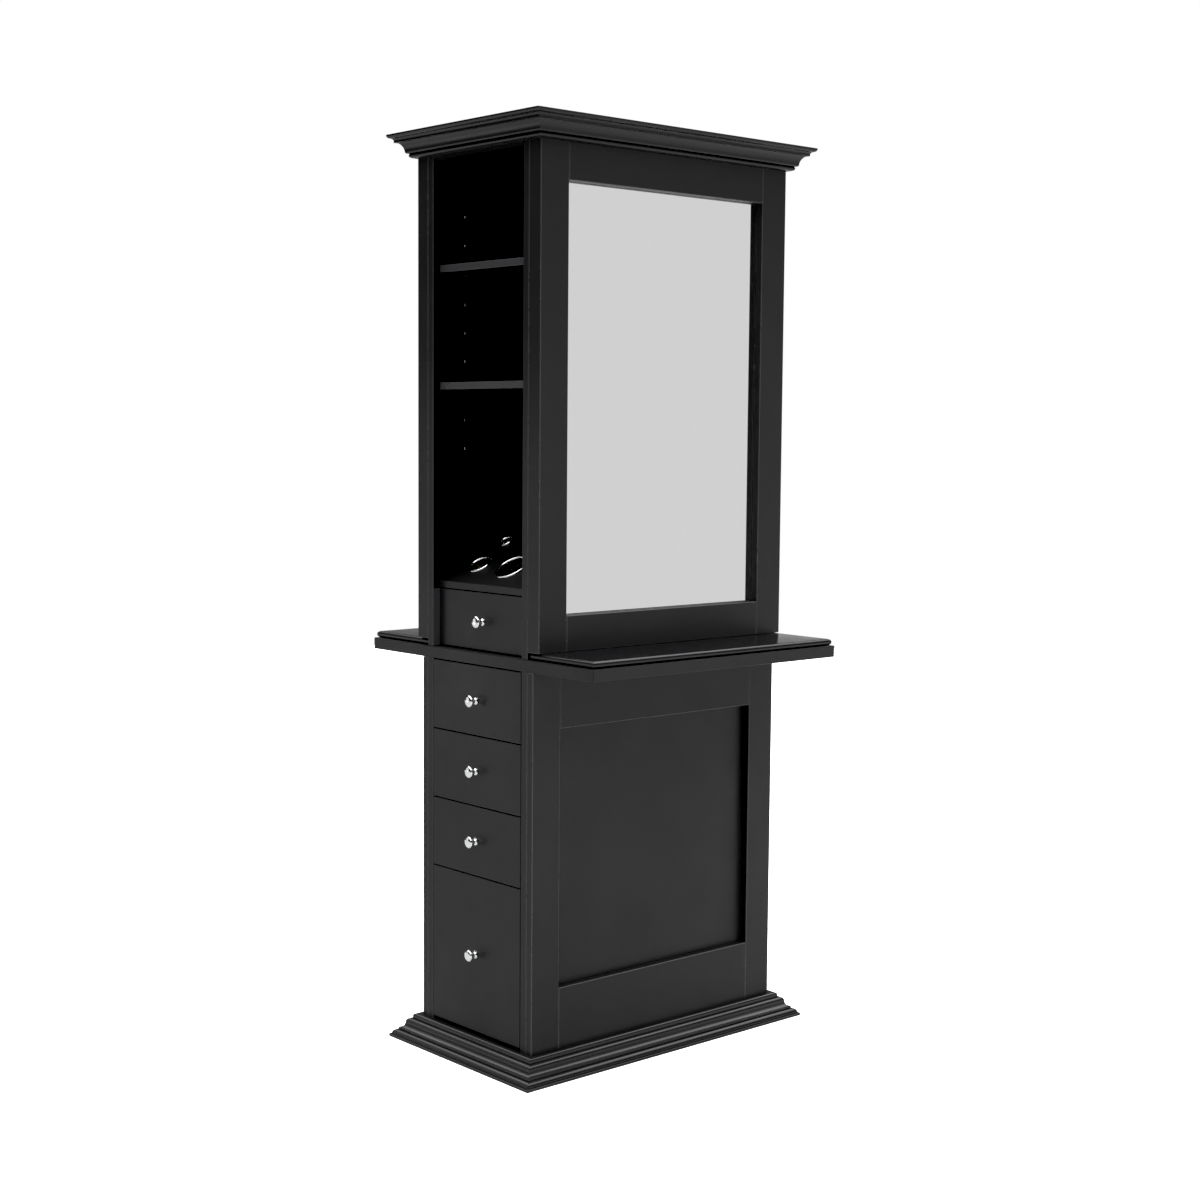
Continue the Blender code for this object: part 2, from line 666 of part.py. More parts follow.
def build_drawer(name, index, bottom, top, height, parent, materials):
    face, low, high = box_places(index, bottom, height)
    half = SIDE_INNER - FRONT_SIDE_GAP
    front = board(f"{name}_front", (face, -half, bottom), (face + BOARD, half, top), materials["paint"], parent)
    shape = bmesh.new()
    add_rod(shape, (-BOARD, 0, 0), (1, 0, 0), BOARD / 2 + KNOB_STUD + STUD_PLAY, KNOB_STUD_RADIUS + STUD_PLAY / 2, PIN_SIDES)
    cut_away(front, shape, "stud_hole")
    build_box(f"{name}_box", face + BOARD + CONTACT, low, high, parent, materials["birch"])
    build_knob(f"{name}_knob", (face, 0, (bottom + top) / 2), parent, materials["chrome"])


def build_box(name, start, low, high, parent, material):
    """An open box with a groove outside each long wall for its runner."""
    half = SIDE_INNER - BOX_SIDE_CLEARANCE
    end = -(BOARD / 2 + BOX_REAR_CLEARANCE)
    box = board(name, (start, -half, low), (end, half, high), material, parent, ease=0)
    length, width, depth = (end - start) / 2, half, (high - low) / 2
    shape = bmesh.new()
    inside = Vector((length - BOX_WALL, width - BOX_WALL, depth))
    add_box(shape, (-inside.x, -inside.y, -depth + BOX_FLOOR), (inside.x, inside.y, depth + OVERRUN))
    cut_away(box, shape, "inside")
    shape = bmesh.new()
    groove_floor = SIDE_INNER - BOX_SIDE_CLEARANCE - RUNNER_BITE - GROOVE_PLAY
    centre = runner_height(low, high) - (low + high) / 2
    for side in (-1, 1):
        near, far = sorted((side * groove_floor, side * (half + OVERRUN)))
        add_box(
            shape,
            (-length + RUNNER_SETBACK - GROOVE_LEAD, near, centre - RUNNER_HEIGHT / 2 - GROOVE_PLAY),
            (length + OVERRUN, far, centre + RUNNER_HEIGHT / 2 + CONTACT),
        )
    cut_away(box, shape, "runner_grooves")


def runner_height(low, high):
    return low + min((high - low) / 2, RUNNER_LEVEL)


def build_knob(name, place, parent, material):
    """A mushroom knob: a flange on the front, a neck, a domed head, and the stud in the wood."""
    dome = KNOB_HEAD * 0.45
    rim = KNOB_REACH - dome
    profile = [(-KNOB_STUD, 0.0), (-KNOB_STUD, KNOB_STUD_RADIUS), (CONTACT, KNOB_STUD_RADIUS)]
    profile += [(CONTACT, KNOB_FLANGE_RADIUS), (KNOB_FLANGE * 0.5, KNOB_FLANGE_RADIUS)]
    profile += [(KNOB_FLANGE, KNOB_NECK_RADIUS + 0.0015), (KNOB_FLANGE + 0.004, KNOB_NECK_RADIUS)]
    profile += [(KNOB_REACH - KNOB_HEAD - 0.002, KNOB_NECK_RADIUS)]
    profile += [(KNOB_REACH - KNOB_HEAD + 0.0015, KNOB_HEAD_RADIUS * 0.80)]
    profile += [(rim - 0.001, KNOB_HEAD_RADIUS)]
    profile += [(rim + dome * 0.55, KNOB_HEAD_RADIUS * 0.84), (rim + dome * 0.88, KNOB_HEAD_RADIUS * 0.48)]
    profile += [(KNOB_REACH, 0.0)]
    shape = bmesh.new()
    outward = Vector((-1, 0, 0)).to_track_quat("Z", "Y").to_matrix().to_4x4()
    turned(shape, profile, outward, KNOB_SIDES)
    knob = add_object(name, shape, material, place, parent)
    shade_round(knob)


def build_end(end, parent, materials):
    build_shelves(end, parent, materials)
    build_tool_panel(end, parent, materials)
    for index, (bottom, top, height) in enumerate(drawer_fronts()):
        build_drawer(f"{end}_drawer_{index + 1}", index, bottom, top, height, parent, materials)


def build_ends(materials):
    for end, turn in (("left", 0.0), ("right", math.pi)):
        parent = bpy.data.objects.new(f"{end}_end", None)
        parent.rotation_euler.z = turn
        bpy.context.scene.collection.objects.link(parent)
        build_end(end, parent, materials)


# ---------------------------------------------------------------- the whole station
def clear_scene():
    for item in list(bpy.data.objects):
        bpy.data.objects.remove(item, do_unlink=True)


def main():
    clear_scene()
    materials = make_materials()
    build_sides(materials)
    build_boards(materials)
    build_frames(materials)
    build_counter_tops(materials["gloss"])
    build_mouldings(materials["paint"])
    build_ends(materials)


main()
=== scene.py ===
"""Looks of a double-sided salon styling station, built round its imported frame.

Metres, +Z up, in the frame's own place: the origin is on the floor under the middle of the cabinet, X runs
along its length, the mirrors face -Y and +Y, and the drawers slide out at the -X ("left") and +X ("right")
ends. Every piece has its place in its mesh, and rides on the body of the part that it finishes.
"""

import json
import math

import bmesh
import bpy
from mathutils import Matrix, Vector


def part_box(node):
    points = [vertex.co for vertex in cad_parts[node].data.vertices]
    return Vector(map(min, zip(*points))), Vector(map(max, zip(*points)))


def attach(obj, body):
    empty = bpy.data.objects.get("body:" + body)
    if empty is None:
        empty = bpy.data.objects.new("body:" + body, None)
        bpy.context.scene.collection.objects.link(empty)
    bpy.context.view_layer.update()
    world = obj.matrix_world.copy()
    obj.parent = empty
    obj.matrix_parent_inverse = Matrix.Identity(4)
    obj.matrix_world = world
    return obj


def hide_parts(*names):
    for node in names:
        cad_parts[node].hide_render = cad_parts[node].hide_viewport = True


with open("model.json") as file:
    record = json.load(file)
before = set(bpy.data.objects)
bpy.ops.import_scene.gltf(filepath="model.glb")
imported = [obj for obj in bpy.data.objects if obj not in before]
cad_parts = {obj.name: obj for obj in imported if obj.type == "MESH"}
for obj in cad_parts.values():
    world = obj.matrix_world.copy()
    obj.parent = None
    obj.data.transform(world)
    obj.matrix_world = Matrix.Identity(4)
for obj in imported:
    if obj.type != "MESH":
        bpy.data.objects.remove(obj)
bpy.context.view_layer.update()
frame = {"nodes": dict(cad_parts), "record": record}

bl_info = {
    "name": "Salon Styling Station",
    "version": (1, 0, 0),
    "blender": (4, 5, 0),
    "location": "3D View > Sidebar > Station",
    "description": (
        "Finishes a salon styling station: joinery, mouldings, mirrors, drawers, hardware and studio"
    ),
    "category": "Add Mesh",
}

SIDES = (("front", -1), ("back", 1))
ENDS = (("left", 1), ("right", -1))  # the right end is the left end turned half a turn about Z
RING_SIZES = ("small", "medium", "large")
DRAWERS = range(1, 6)
INSIDE_SHINE = 0.10  # share of the mirror-like reflection of an ordinary clear coat, halved
LACQUER_SHINE = 0.31
CLEARANCE = 0.001  # between a space named in the record and the boards round it
CONTACT = 0.0003  # gap left between pieces that touch
BOARD = 0.019  # thickness of the carcass sides
PEEL_DEPTH = 0.00006  # of the lacquer's fine peel
PLY = 0.0028  # thickness of two plies of the birch boards
SMALLEST_RADIUS = 1e-6  # a turned profile is closed on its axis below this
MERGE_DISTANCE = 1e-7
ARRIS_SEGMENTS = 3
ARRIS_ANGLE = math.radians(40)  # sharper edges than this are eased
STEEL_ROUNDING = math.radians(30)  # edges flatter than this are shaded round
TOP_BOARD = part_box("top_board")
HALF_LENGTH = TOP_BOARD[1].x
UPPER_HALF_WIDTH = TOP_BOARD[1].y
LOWER_HALF_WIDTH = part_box("lower_frame_back")[1].y


# ---------------------------------------------------------------- sizes and colours a user may change
def length_setting(name, description, default, **limits):
    return bpy.props.FloatProperty(
        name=name, description=description, default=default, unit="LENGTH", **limits
    )


def colour_setting(name, description, default):
    return bpy.props.FloatVectorProperty(name=name, description=description, default=default, subtype="COLOR")


def light_setting(name, description, default, **settings):
    return bpy.props.FloatProperty(name=name, description=description, default=default, min=0.0, **settings)


class StationSizes(bpy.types.PropertyGroup):
    arris: length_setting("Arris", "Radius of the eased edges of the frames", 0.0017, min=0.0002)
    joint_line: length_setting("Joint line", "Open line between a rail and a stile", 0.0003)
    stile: length_setting("Stile", "Width of the upright members of the frames", 0.076)
    mirror_rebate: length_setting("Rebate", "How far the glass runs in behind its frame", 0.010)
    mirror_lip: length_setting("Lip", "Wood in front of the glass", 0.019)
    mirror_bevel: length_setting("Mirror bevel", "Width of the polished bevel round the mirror", 0.0018)
    box_wall: length_setting("Box wall", "Thickness of the drawer boxes' walls", 0.014)
    finger: length_setting("Finger", "Height of one finger of the drawer boxes' corner joints", 0.012)
    tool_slope: bpy.props.FloatProperty(
        name="Tool slope",
        description="Slope of the panel that holds the tools",
        default=math.radians(33),
        subtype="ANGLE",
    )
    ring_width: length_setting("Ring width", "Width of the rim of the tool rings", 0.0045)
    ring_height: length_setting("Ring height", "Height of that rim over the panel", 0.003)
    sleeve_length: length_setting("Sleeve", "Length of a ring's sleeve under the panel's face", 0.020)
    pin_pitch: length_setting("Pin pitch", "Height from one row of shelf pins to the next", 0.064)
    pin_rows: bpy.props.IntProperty(
        name="Pin rows", description="Rows of holes for the shelf pins", default=9, min=1
    )
    screw_head: length_setting("Screw head", "Radius of the screw heads inside the drawers", 0.0042)


class StationColours(bpy.types.PropertyGroup):
    lacquer: colour_setting("Lacquer", "Satin black of the boards", (0.0070, 0.0070, 0.0075))
    lacquer_dust: colour_setting("Lacquer bloom", "Where the lacquer looks paler", (0.0105, 0.0105, 0.0110))
    # Painted highlight: the arris colour, about five times the lacquer's, stands for light caught on the eased
    # edges, over slightly rubbed paint.
    arris: colour_setting("Arris", "Eased edges, rubbed paler and painted with a highlight", (0.036, 0.036, 0.038))
    inside: colour_setting("Inside", "Dull black of the inner boards", (0.0016, 0.0016, 0.0018))
    laminate: colour_setting("Laminate", "Gloss black of the counter tops", (0.005, 0.005, 0.0055))
    chrome: colour_setting("Chrome", "Polished chrome", (0.86, 0.865, 0.875))
    silver: colour_setting("Silvering", "Silvered back of the mirrors", (0.838, 0.838, 0.840))
    birch_pale: colour_setting("Birch, pale", "Pale grain of the drawer boxes", (0.62, 0.47, 0.30))
    birch_dark: colour_setting("Birch, dark", "Dark grain of the drawer boxes", (0.43, 0.29, 0.165))
    steel: colour_setting("Steel", "Zinc-plated pins and screws", (0.63, 0.64, 0.66))


class StudioSettings(bpy.types.PropertyGroup):
    surround: light_setting("Surround", "Brightness of the walls of the studio", 0.76)
    overhead: light_setting("Overhead light", "Power of the large light above", 80.0, unit="POWER")
    side: light_setting("Side light", "Power of the light that grazes the left end", 2.7, unit="POWER")
    floor_bounce: light_setting("Floor bounce", "Paleness of the floor as the station sees it", 0.38)
    floor_glow: light_setting("Floor glow", "How far the floor is washed out towards white", 0.75)
    black_level: light_setting("Black level", "Light that the picture shows as full black", 0.005)
    floor_radius: length_setting("Floor radius", "Radius of the round studio floor", 8.0, min=2.0)


def sizes():
    return bpy.context.scene.station_sizes


def colours():
    return bpy.context.scene.station_colours


# ---------------------------------------------------------------- places read from the frame
def space(name):
    """Lowest and highest corner of a space named in the record, out to the boards round it."""
    for opening in frame["record"]["physics"]["openings"]:
        if opening["name"] == name:
            low, high = (Vector(corner) for corner in opening["box_m"])
            grow = Vector((CLEARANCE,) * 3)
            return low - grow, high + grow
    raise RuntimeError(f"the record names no space {name}")


# ---------------------------------------------------------------- meshes
def add_block(shape, low, high, slot=0):
    """Adds a closed box between two corners."""
    low, high = Vector(low), Vector(high)
    place = Matrix.Translation((low + high) / 2) @ Matrix.Diagonal((*(high - low), 1.0))
    made = bmesh.ops.create_cube(shape, size=1.0, matrix=place)
    for face in {face for vert in made["verts"] for face in vert.link_faces}:
        face.material_index = slot


def add_strip(shape, outline, along, start, end):
    """Adds a closed bar: an outline in the plane across axis number along, swept from start to end."""
    loops = []
    for reach in (start, end):
        loop = []
        for point in outline:
            place = list(point)
            place.insert(along, reach)
            loop.append(shape.verts.new(place))
        loops.append(loop)
    count = len(outline)
    for index in range(count):
        after = (index + 1) % count
        shape.faces.new((loops[0][index], loops[0][after], loops[1][after], loops[1][index]))
    shape.faces.new(loops[0][::-1])
    shape.faces.new(loops[1])


def add_turned(shape, profile, place, sides):
    """Adds a closed turned body. The profile is (along, radius) pairs that start and end on the axis."""
    rings = []
    for along, radius in profile:
        steps = sides if radius > SMALLEST_RADIUS else 1
        ring = []
        for step in range(steps):
            turn = 2 * math.pi * step / sides
            point = Vector((radius * math.cos(turn), radius * math.sin(turn), along))
            ring.append(shape.verts.new(place @ point))
        rings.append(ring)
    for lower, upper in zip(rings, rings[1:]):
        for step in range(sides):
            after = (step + 1) % sides
            corners = [lower[step % len(lower)], lower[after % len(lower)]]
            corners += [upper[after % len(upper)], upper[step % len(upper)]]
            shape.faces.new(list(dict.fromkeys(corners)))


def arc(centre, radius, start, end, steps):
    """Points of a circular arc, angles in degrees."""
    points = []
    for step in range(steps + 1):
        angle = math.radians(start + (end - start) * step / steps)
        points.append((centre[0] + radius * math.cos(angle), centre[1] + radius * math.sin(angle)))
    return points


def bowed(start, end, bulge, steps=8):
    """Points after start along a shallow bow to end. It swells outwards where bulge is positive."""
    across = Vector((end[1] - start[1], start[0] - end[0])).normalized()
    control = (Vector(start) + Vector(end)) / 2 - across * 2 * bulge
    points = []
    for step in range(1, steps + 1):
        t = step / steps
        point = (1 - t) ** 2 * Vector(start) + 2 * t * (1 - t) * control + t * t * Vector(end)
        points.append(tuple(point))
    return points


def finish_piece(
    name, mesh, finishes, body, nodes=(), arris=0.0, round_angle=None, arris_finish=None
):
    """Makes a mesh or a bmesh into a piece that rides on a body and stands for CAD nodes."""
    if isinstance(mesh, bmesh.types.BMesh):
        shape, mesh = mesh, bpy.data.meshes.new(name)
        bmesh.ops.remove_doubles(shape, verts=shape.verts, dist=MERGE_DISTANCE)
        bmesh.ops.recalc_face_normals(shape, faces=shape.faces)
        shape.to_mesh(mesh)
        shape.free()
    mesh.name = name
    if finishes:
        mesh.materials.clear()
        for finish in finishes:
            mesh.materials.append(finish)
    piece = bpy.data.objects.new(name, mesh)
    bpy.context.scene.collection.objects.link(piece)
    if round_angle is not None:
        mesh.shade_smooth()
        mesh.set_sharp_from_angle(angle=round_angle)
    if arris:
        mesh.shade_smooth()
        bevel = piece.modifiers.new("arris", "BEVEL")
        bevel.width = arris
        bevel.segments = ARRIS_SEGMENTS
        bevel.limit_method = "ANGLE"
        bevel.angle_limit = ARRIS_ANGLE
        bevel.harden_normals = True
        if arris_finish:
            mesh.materials.append(arris_finish)
            bevel.material = len(mesh.materials) - 1
    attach(piece, body)
    if nodes:
        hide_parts(*nodes)
    return piece


# ---------------------------------------------------------------- rules built with Geometry Nodes
def new_rule(name, inputs):
    """An empty geometry tree with named inputs. It gives the tree, its nodes' maker and its input sockets."""
    tree = bpy.data.node_groups.new(name, "GeometryNodeTree")
    tree.interface.new_socket("Geometry", in_out="INPUT", socket_type="NodeSocketGeometry")
    for label, kind in inputs:
        tree.interface.new_socket(label, in_out="INPUT", socket_type=f"NodeSocket{kind}")
    tree.interface.new_socket("Geometry", in_out="OUTPUT", socket_type="NodeSocketGeometry")
    return tree, tree.nodes.new("NodeGroupInput")


def linked(tree, kind, values=None, links=None, **settings):
    """Adds a node, sets its values and joins other sockets to its inputs, both by input name or number."""
    node = tree.nodes.new(kind)
    for label, value in settings.items():
        setattr(node, label, value)
    for label, value in (values or {}).items():
        node.inputs[label].default_value = value
    for label, socket in (links or {}).items():
        tree.links.new(socket, node.inputs[label])
    return node


def close_rule(tree, geometry, finish):
    """Ends a tree in real geometry with one finish."""
    real = linked(tree, "GeometryNodeRealizeInstances", links={0: geometry})
    dressed = linked(tree, "GeometryNodeSetMaterial", links={"Geometry": real.outputs[0], "Material": finish})
    linked(tree, "NodeGroupOutput", links={0: dressed.outputs[0]})


def follow_rule(name, mesh, tree, values):
    """Runs a geometry tree on a mesh and gives the result as a plain mesh."""
    holder = bpy.data.objects.new(name, mesh)
    bpy.context.scene.collection.objects.link(holder)
    modifier = holder.modifiers.new("rule", "NODES")
    modifier.node_group = tree
    for item in tree.interface.items_tree:
        if item.item_type == "SOCKET" and item.in_out == "INPUT" and item.name in values:
            modifier[item.identifier] = values[item.name]
    graph = bpy.context.evaluated_depsgraph_get()
    made = bpy.data.meshes.new_from_object(holder.evaluated_get(graph))
    holder.modifiers.clear()
    bpy.data.objects.remove(holder)
    if not made.polygons:
        raise RuntimeError(f"the rule for {name} made no faces")
    return made


def mitred_sweep():
    """Sweeps a closed profile round a rectangle.

    Its reach is stretched, so that all four corners mitre truly.
    """
    tree, given = new_rule(
        "mitred_sweep",
        (("Length", "Float"), ("Width", "Float"), ("Mitre Stretch", "Float"), ("Finish", "Material")),
    )
    stretch = linked(tree, "ShaderNodeCombineXYZ", {1: 1.0, 2: 1.0}, {0: given.outputs["Mitre Stretch"]})
    outline = linked(tree, "GeometryNodeMeshToCurve", links={0: given.outputs["Geometry"]})
    wide = linked(
        tree, "GeometryNodeTransform", links={"Geometry": outline.outputs[0], "Scale": stretch.outputs[0]}
    )
    path = linked(
        tree,
        "GeometryNodeCurvePrimitiveQuadrilateral",
        links={0: given.outputs["Length"], 1: given.outputs["Width"]},
    )
    level = linked(tree, "GeometryNodeSetCurveNormal", links={0: path.outputs[0]}, mode="Z_UP")
    swept = linked(
        tree, "GeometryNodeCurveToMesh", links={"Curve": level.outputs[0], "Profile Curve": wide.outputs[0]}
    )
    close_rule(tree, swept.outputs[0], given.outputs["Finish"])
    return tree


def swept_moulding(name, profile, half_length, half_width, finish):
    """A moulding round the cabinet, from a profile of (reach, height) points."""
    outline = bpy.data.meshes.new(f"{name}_profile")
    count = len(profile)
    edges = [(index, (index + 1) % count) for index in range(count)]
    outline.from_pydata([(reach, -height, 0.0) for reach, height in profile], edges, [])
    tree = bpy.data.node_groups.get("mitred_sweep") or mitred_sweep()
    values = {
        "Length": 2 * half_length, "Width": 2 * half_width, "Mitre Stretch": math.sqrt(2), "Finish": finish
    }
    made = follow_rule(name, outline, tree, values)
    shape = bmesh.new()
    shape.from_mesh(made)
    return shape


def hardware_columns():
    """Puts a column of sleeves at each point, and a shelf pin in the two rows that carry a shelf.

    The points carry the vector "facing", which points out of the board.
    """
    inputs = (("Rows", "Int"), ("Pitch", "Float"), ("Upper Shelf Row", "Int"), ("Lower Shelf Row", "Int"))
    inputs += (
        ("Sleeve Radius", "Float"), ("Pin Radius", "Float"), ("Pin Length", "Float"), ("Finish", "Material")
    )
    tree, given = new_rule("hardware_columns", inputs)
    down = linked(tree, "ShaderNodeMath", {1: -1.0}, {0: given.outputs["Pitch"]}, operation="MULTIPLY")
    step = linked(tree, "ShaderNodeCombineXYZ", links={2: down.outputs[0]})
    column = linked(
        tree, "GeometryNodeMeshLine", links={"Count": given.outputs["Rows"], "Offset": step.outputs[0]}
    )
    facing = linked(tree, "GeometryNodeInputNamedAttribute", {"Name": "facing"}, data_type="FLOAT_VECTOR")
    turned = linked(tree, "FunctionNodeAlignRotationToVector", links={"Vector": facing.outputs[0]}, axis="Z")
    row = linked(tree, "GeometryNodeInputIndex")
    numbered = linked(
        tree, "GeometryNodeStoreNamedAttribute", {"Name": "row"},
        {"Geometry": column.outputs[0], "Value": row.outputs[0]}, data_type="INT",
    )
    columns = linked(
        tree,
        "GeometryNodeInstanceOnPoints",
        links={"Points": given.outputs["Geometry"], "Instance": numbered.outputs[0]},
    )
    kept = linked(
        tree, "GeometryNodeStoreNamedAttribute", {"Name": "turn"},
        {"Geometry": columns.outputs[0], "Value": turned.outputs[0]},
        data_type="QUATERNION",
        domain="INSTANCE",
    )
    points = linked(tree, "GeometryNodeRealizeInstances", links={0: kept.outputs[0]})
    turn = linked(tree, "GeometryNodeInputNamedAttribute", {"Name": "turn"}, data_type="QUATERNION")
    number = linked(tree, "GeometryNodeInputNamedAttribute", {"Name": "row"}, data_type="INT")
    matches = []
    for label in ("Upper Shelf Row", "Lower Shelf Row"):
        links = {2: number.outputs[0], 3: given.outputs[label]}
        matches.append(linked(tree, "FunctionNodeCompare", links=links, data_type="INT", operation="EQUAL"))
    carries = linked(
        tree,
        "FunctionNodeBooleanMath",
        links={0: matches[0].outputs[0], 1: matches[1].outputs[0]},
        operation="OR",
    )
    free = linked(tree, "FunctionNodeBooleanMath", links={0: carries.outputs[0]}, operation="NOT")
    sleeve = sleeve_mesh(tree, given)
    pin = pin_mesh(tree, given)
    parts = []
    for chosen, part in ((free, sleeve), (carries, pin)):
        links = {
            "Points": points.outputs[0],
            "Selection": chosen.outputs[0],
            "Instance": part,
            "Rotation": turn.outputs[0],
        }
        parts.append(linked(tree, "GeometryNodeInstanceOnPoints", links=links))
    both = linked(tree, "GeometryNodeJoinGeometry", links={0: parts[0].outputs[0]})
    tree.links.new(parts[1].outputs[0], both.inputs[0])
    close_rule(tree, both.outputs[0], given.outputs["Finish"])
    return tree


def reckoned(tree, operation, *terms, **settings):
    """The result of a maths node whose terms are numbers or sockets."""
    values, links = {}, {}
    for index, term in enumerate(terms):
        (values if isinstance(term, (int, float)) else links)[index] = term
    return linked(tree, "ShaderNodeMath", values, links, operation=operation, **settings).outputs[0]


def scaled(tree, socket, factor):
    return reckoned(tree, "MULTIPLY", socket, factor)


def rod(tree, radius, length, lift, sides=20, top=None):
    """A closed rod along Z inside a geometry tree. Its middle stands at the socket lift."""
    links = {"Radius Bottom": radius, "Radius Top": top or radius, "Depth": length}
    cone = linked(tree, "GeometryNodeMeshCone", {"Vertices": sides}, links)
    place = linked(tree, "ShaderNodeCombineXYZ", links={2: lift})
    moved = linked(
        tree,
        "GeometryNodeTransform",
        links={"Geometry": cone.outputs["Mesh"], "Translation": place.outputs[0]},
    )
    return moved.outputs[0]


def sleeve_mesh(tree, given):
    """A flanged steel sleeve for a pin hole: a flat rim on the board with a dished mouth."""
    radius = given.outputs["Sleeve Radius"]
    rim_height = scaled(tree, radius, 0.14)
    rim = rod(tree, radius, rim_height, scaled(tree, radius, 0.07), 24, scaled(tree, radius, 0.90))
    mouth = rod(
        tree,
        scaled(tree, radius, 0.55),
        scaled(tree, radius, 0.6),
        scaled(tree, radius, 0.32),
        24,
        scaled(tree, radius, 0.66),
    )
    cut = linked(tree, "GeometryNodeMeshBoolean", links={0: rim, 1: mouth}, operation="DIFFERENCE")
    return cut.outputs[0]


def pin_mesh(tree, given):
    """A steel shelf pin: a flange against the board, the pin and its rounded nose."""
    radius = given.outputs["Pin Radius"]
    length = given.outputs["Pin Length"]
    flange = rod(tree, scaled(tree, radius, 1.7), scaled(tree, radius, 0.4), scaled(tree, radius, 0.2))
    shank = rod(tree, radius, length, scaled(tree, length, 0.5))
    nose_lift = reckoned(tree, "ADD", length, scaled(tree, radius, 0.22))
    nose = rod(
        tree, scaled(tree, radius, 0.98), scaled(tree, radius, 0.44), nose_lift, top=scaled(tree, radius, 0.6)
    )
    joined = linked(tree, "GeometryNodeJoinGeometry", links={0: flange})
    tree.links.new(shank, joined.inputs[0])
    tree.links.new(nose, joined.inputs[0])
    return joined.outputs[0]


def screw_pattern():
    """Puts a pan-head screw with a cross recess at each point. Its head points along the vector "facing"."""
    tree, given = new_rule("screw_pattern", (("Head Radius", "Float"), ("Finish", "Material")))
    radius = given.outputs["Head Radius"]
    base = rod(tree, radius, scaled(tree, radius, 0.30), scaled(tree, radius, 0.15), 20)
    dome = rod(
        tree, radius, scaled(tree, radius, 0.34), scaled(tree, radius, 0.46), 20, scaled(tree, radius, 0.62)
    )
    head = linked(tree, "GeometryNodeMeshBoolean", links={1: base}, operation="UNION")
    tree.links.new(dome, head.inputs[1])
    slot_lift = linked(tree, "ShaderNodeCombineXYZ", links={2: scaled(tree, radius, 0.62)})
    recessed = head
    for turn in (0.0, math.pi / 2):
        extent = linked(
            tree, "ShaderNodeCombineXYZ",
            links={
                0: scaled(tree, radius, 0.95), 1: scaled(tree, radius, 0.20), 2: scaled(tree, radius, 0.62)
            },
        )
        bar = linked(tree, "GeometryNodeMeshCube", links={"Size": extent.outputs[0]})
        placed = linked(
            tree, "GeometryNodeTransform", {"Rotation": (0.0, 0.0, turn)},
            {"Geometry": bar.outputs["Mesh"], "Translation": slot_lift.outputs[0]},
        )
        recessed = linked(
            tree,
            "GeometryNodeMeshBoolean",
            links={0: recessed.outputs[0], 1: placed.outputs[0]},
            operation="DIFFERENCE",
        )
    facing = linked(tree, "GeometryNodeInputNamedAttribute", {"Name": "facing"}, data_type="FLOAT_VECTOR")
    turned = linked(tree, "FunctionNodeAlignRotationToVector", links={"Vector": facing.outputs[0]}, axis="Z")
    placed = linked(
        tree, "GeometryNodeInstanceOnPoints",
        links={
            "Points": given.outputs["Geometry"],
            "Instance": recessed.outputs[0],
            "Rotation": turned.outputs[0],
        },
    )
    close_rule(tree, placed.outputs[0], given.outputs["Finish"])
    return tree


def marked_points(name, points):
    """A mesh of loose points from (place, facing) pairs."""
    mesh = bpy.data.meshes.new(name)
    mesh.from_pydata([place for place, _ in points], [], [])
    facing = mesh.attributes.new("facing", "FLOAT_VECTOR", "POINT")
    for value, (_, direction) in zip(facing.data, points):
        value.vector = direction
    return mesh


# ---------------------------------------------------------------- finishes
def new_finish(name):
    material = bpy.data.materials.new(name)
    material.use_nodes = True
    shader = material.node_tree.nodes["Principled BSDF"]
    return material, material.node_tree, shader


def coordinates(tree, scale=(1.0, 1.0, 1.0), turn=(0.0, 0.0, 0.0)):
    """The piece's own coordinates, stretched and turned for a pattern."""
    source = linked(tree, "ShaderNodeTexCoord")
    mapping = linked(
        tree, "ShaderNodeMapping", {"Scale": scale, "Rotation": turn}, {"Vector": source.outputs["Object"]}
    )
    return mapping.outputs[0]


def ranged(tree, socket, low, high, from_low=0.0, from_high=1.0):
    values = {"From Min": from_low, "From Max": from_high, "To Min": low, "To Max": high}
    return linked(tree, "ShaderNodeMapRange", values, {"Value": socket}).outputs[0]


def steps_up(tree, socket, steps):
    """A value that runs straight from each (place, level) step to the next."""
    total = None
    for (start, low), (end, high) in zip(steps, steps[1:]):
        rise = ranged(tree, socket, 0.0, high - low, start, end)
        if total is None:
            total = reckoned(tree, "ADD", rise, low)
        else:
            total = reckoned(tree, "ADD", total, rise)
    return total


def new_effect(name, inputs, outputs):
    """A shader node group with named inputs (label, kind, default) and outputs (label, kind)."""
    tree = bpy.data.node_groups.new(name, "ShaderNodeTree")
    for label, kind, default in inputs:
        socket = tree.interface.new_socket(label, in_out="INPUT", socket_type=f"NodeSocket{kind}")
        if default is not None:
            socket.default_value = default
    for label, kind in outputs:
        tree.interface.new_socket(label, in_out="OUTPUT", socket_type=f"NodeSocket{kind}")
    return tree, tree.nodes.new("NodeGroupInput")


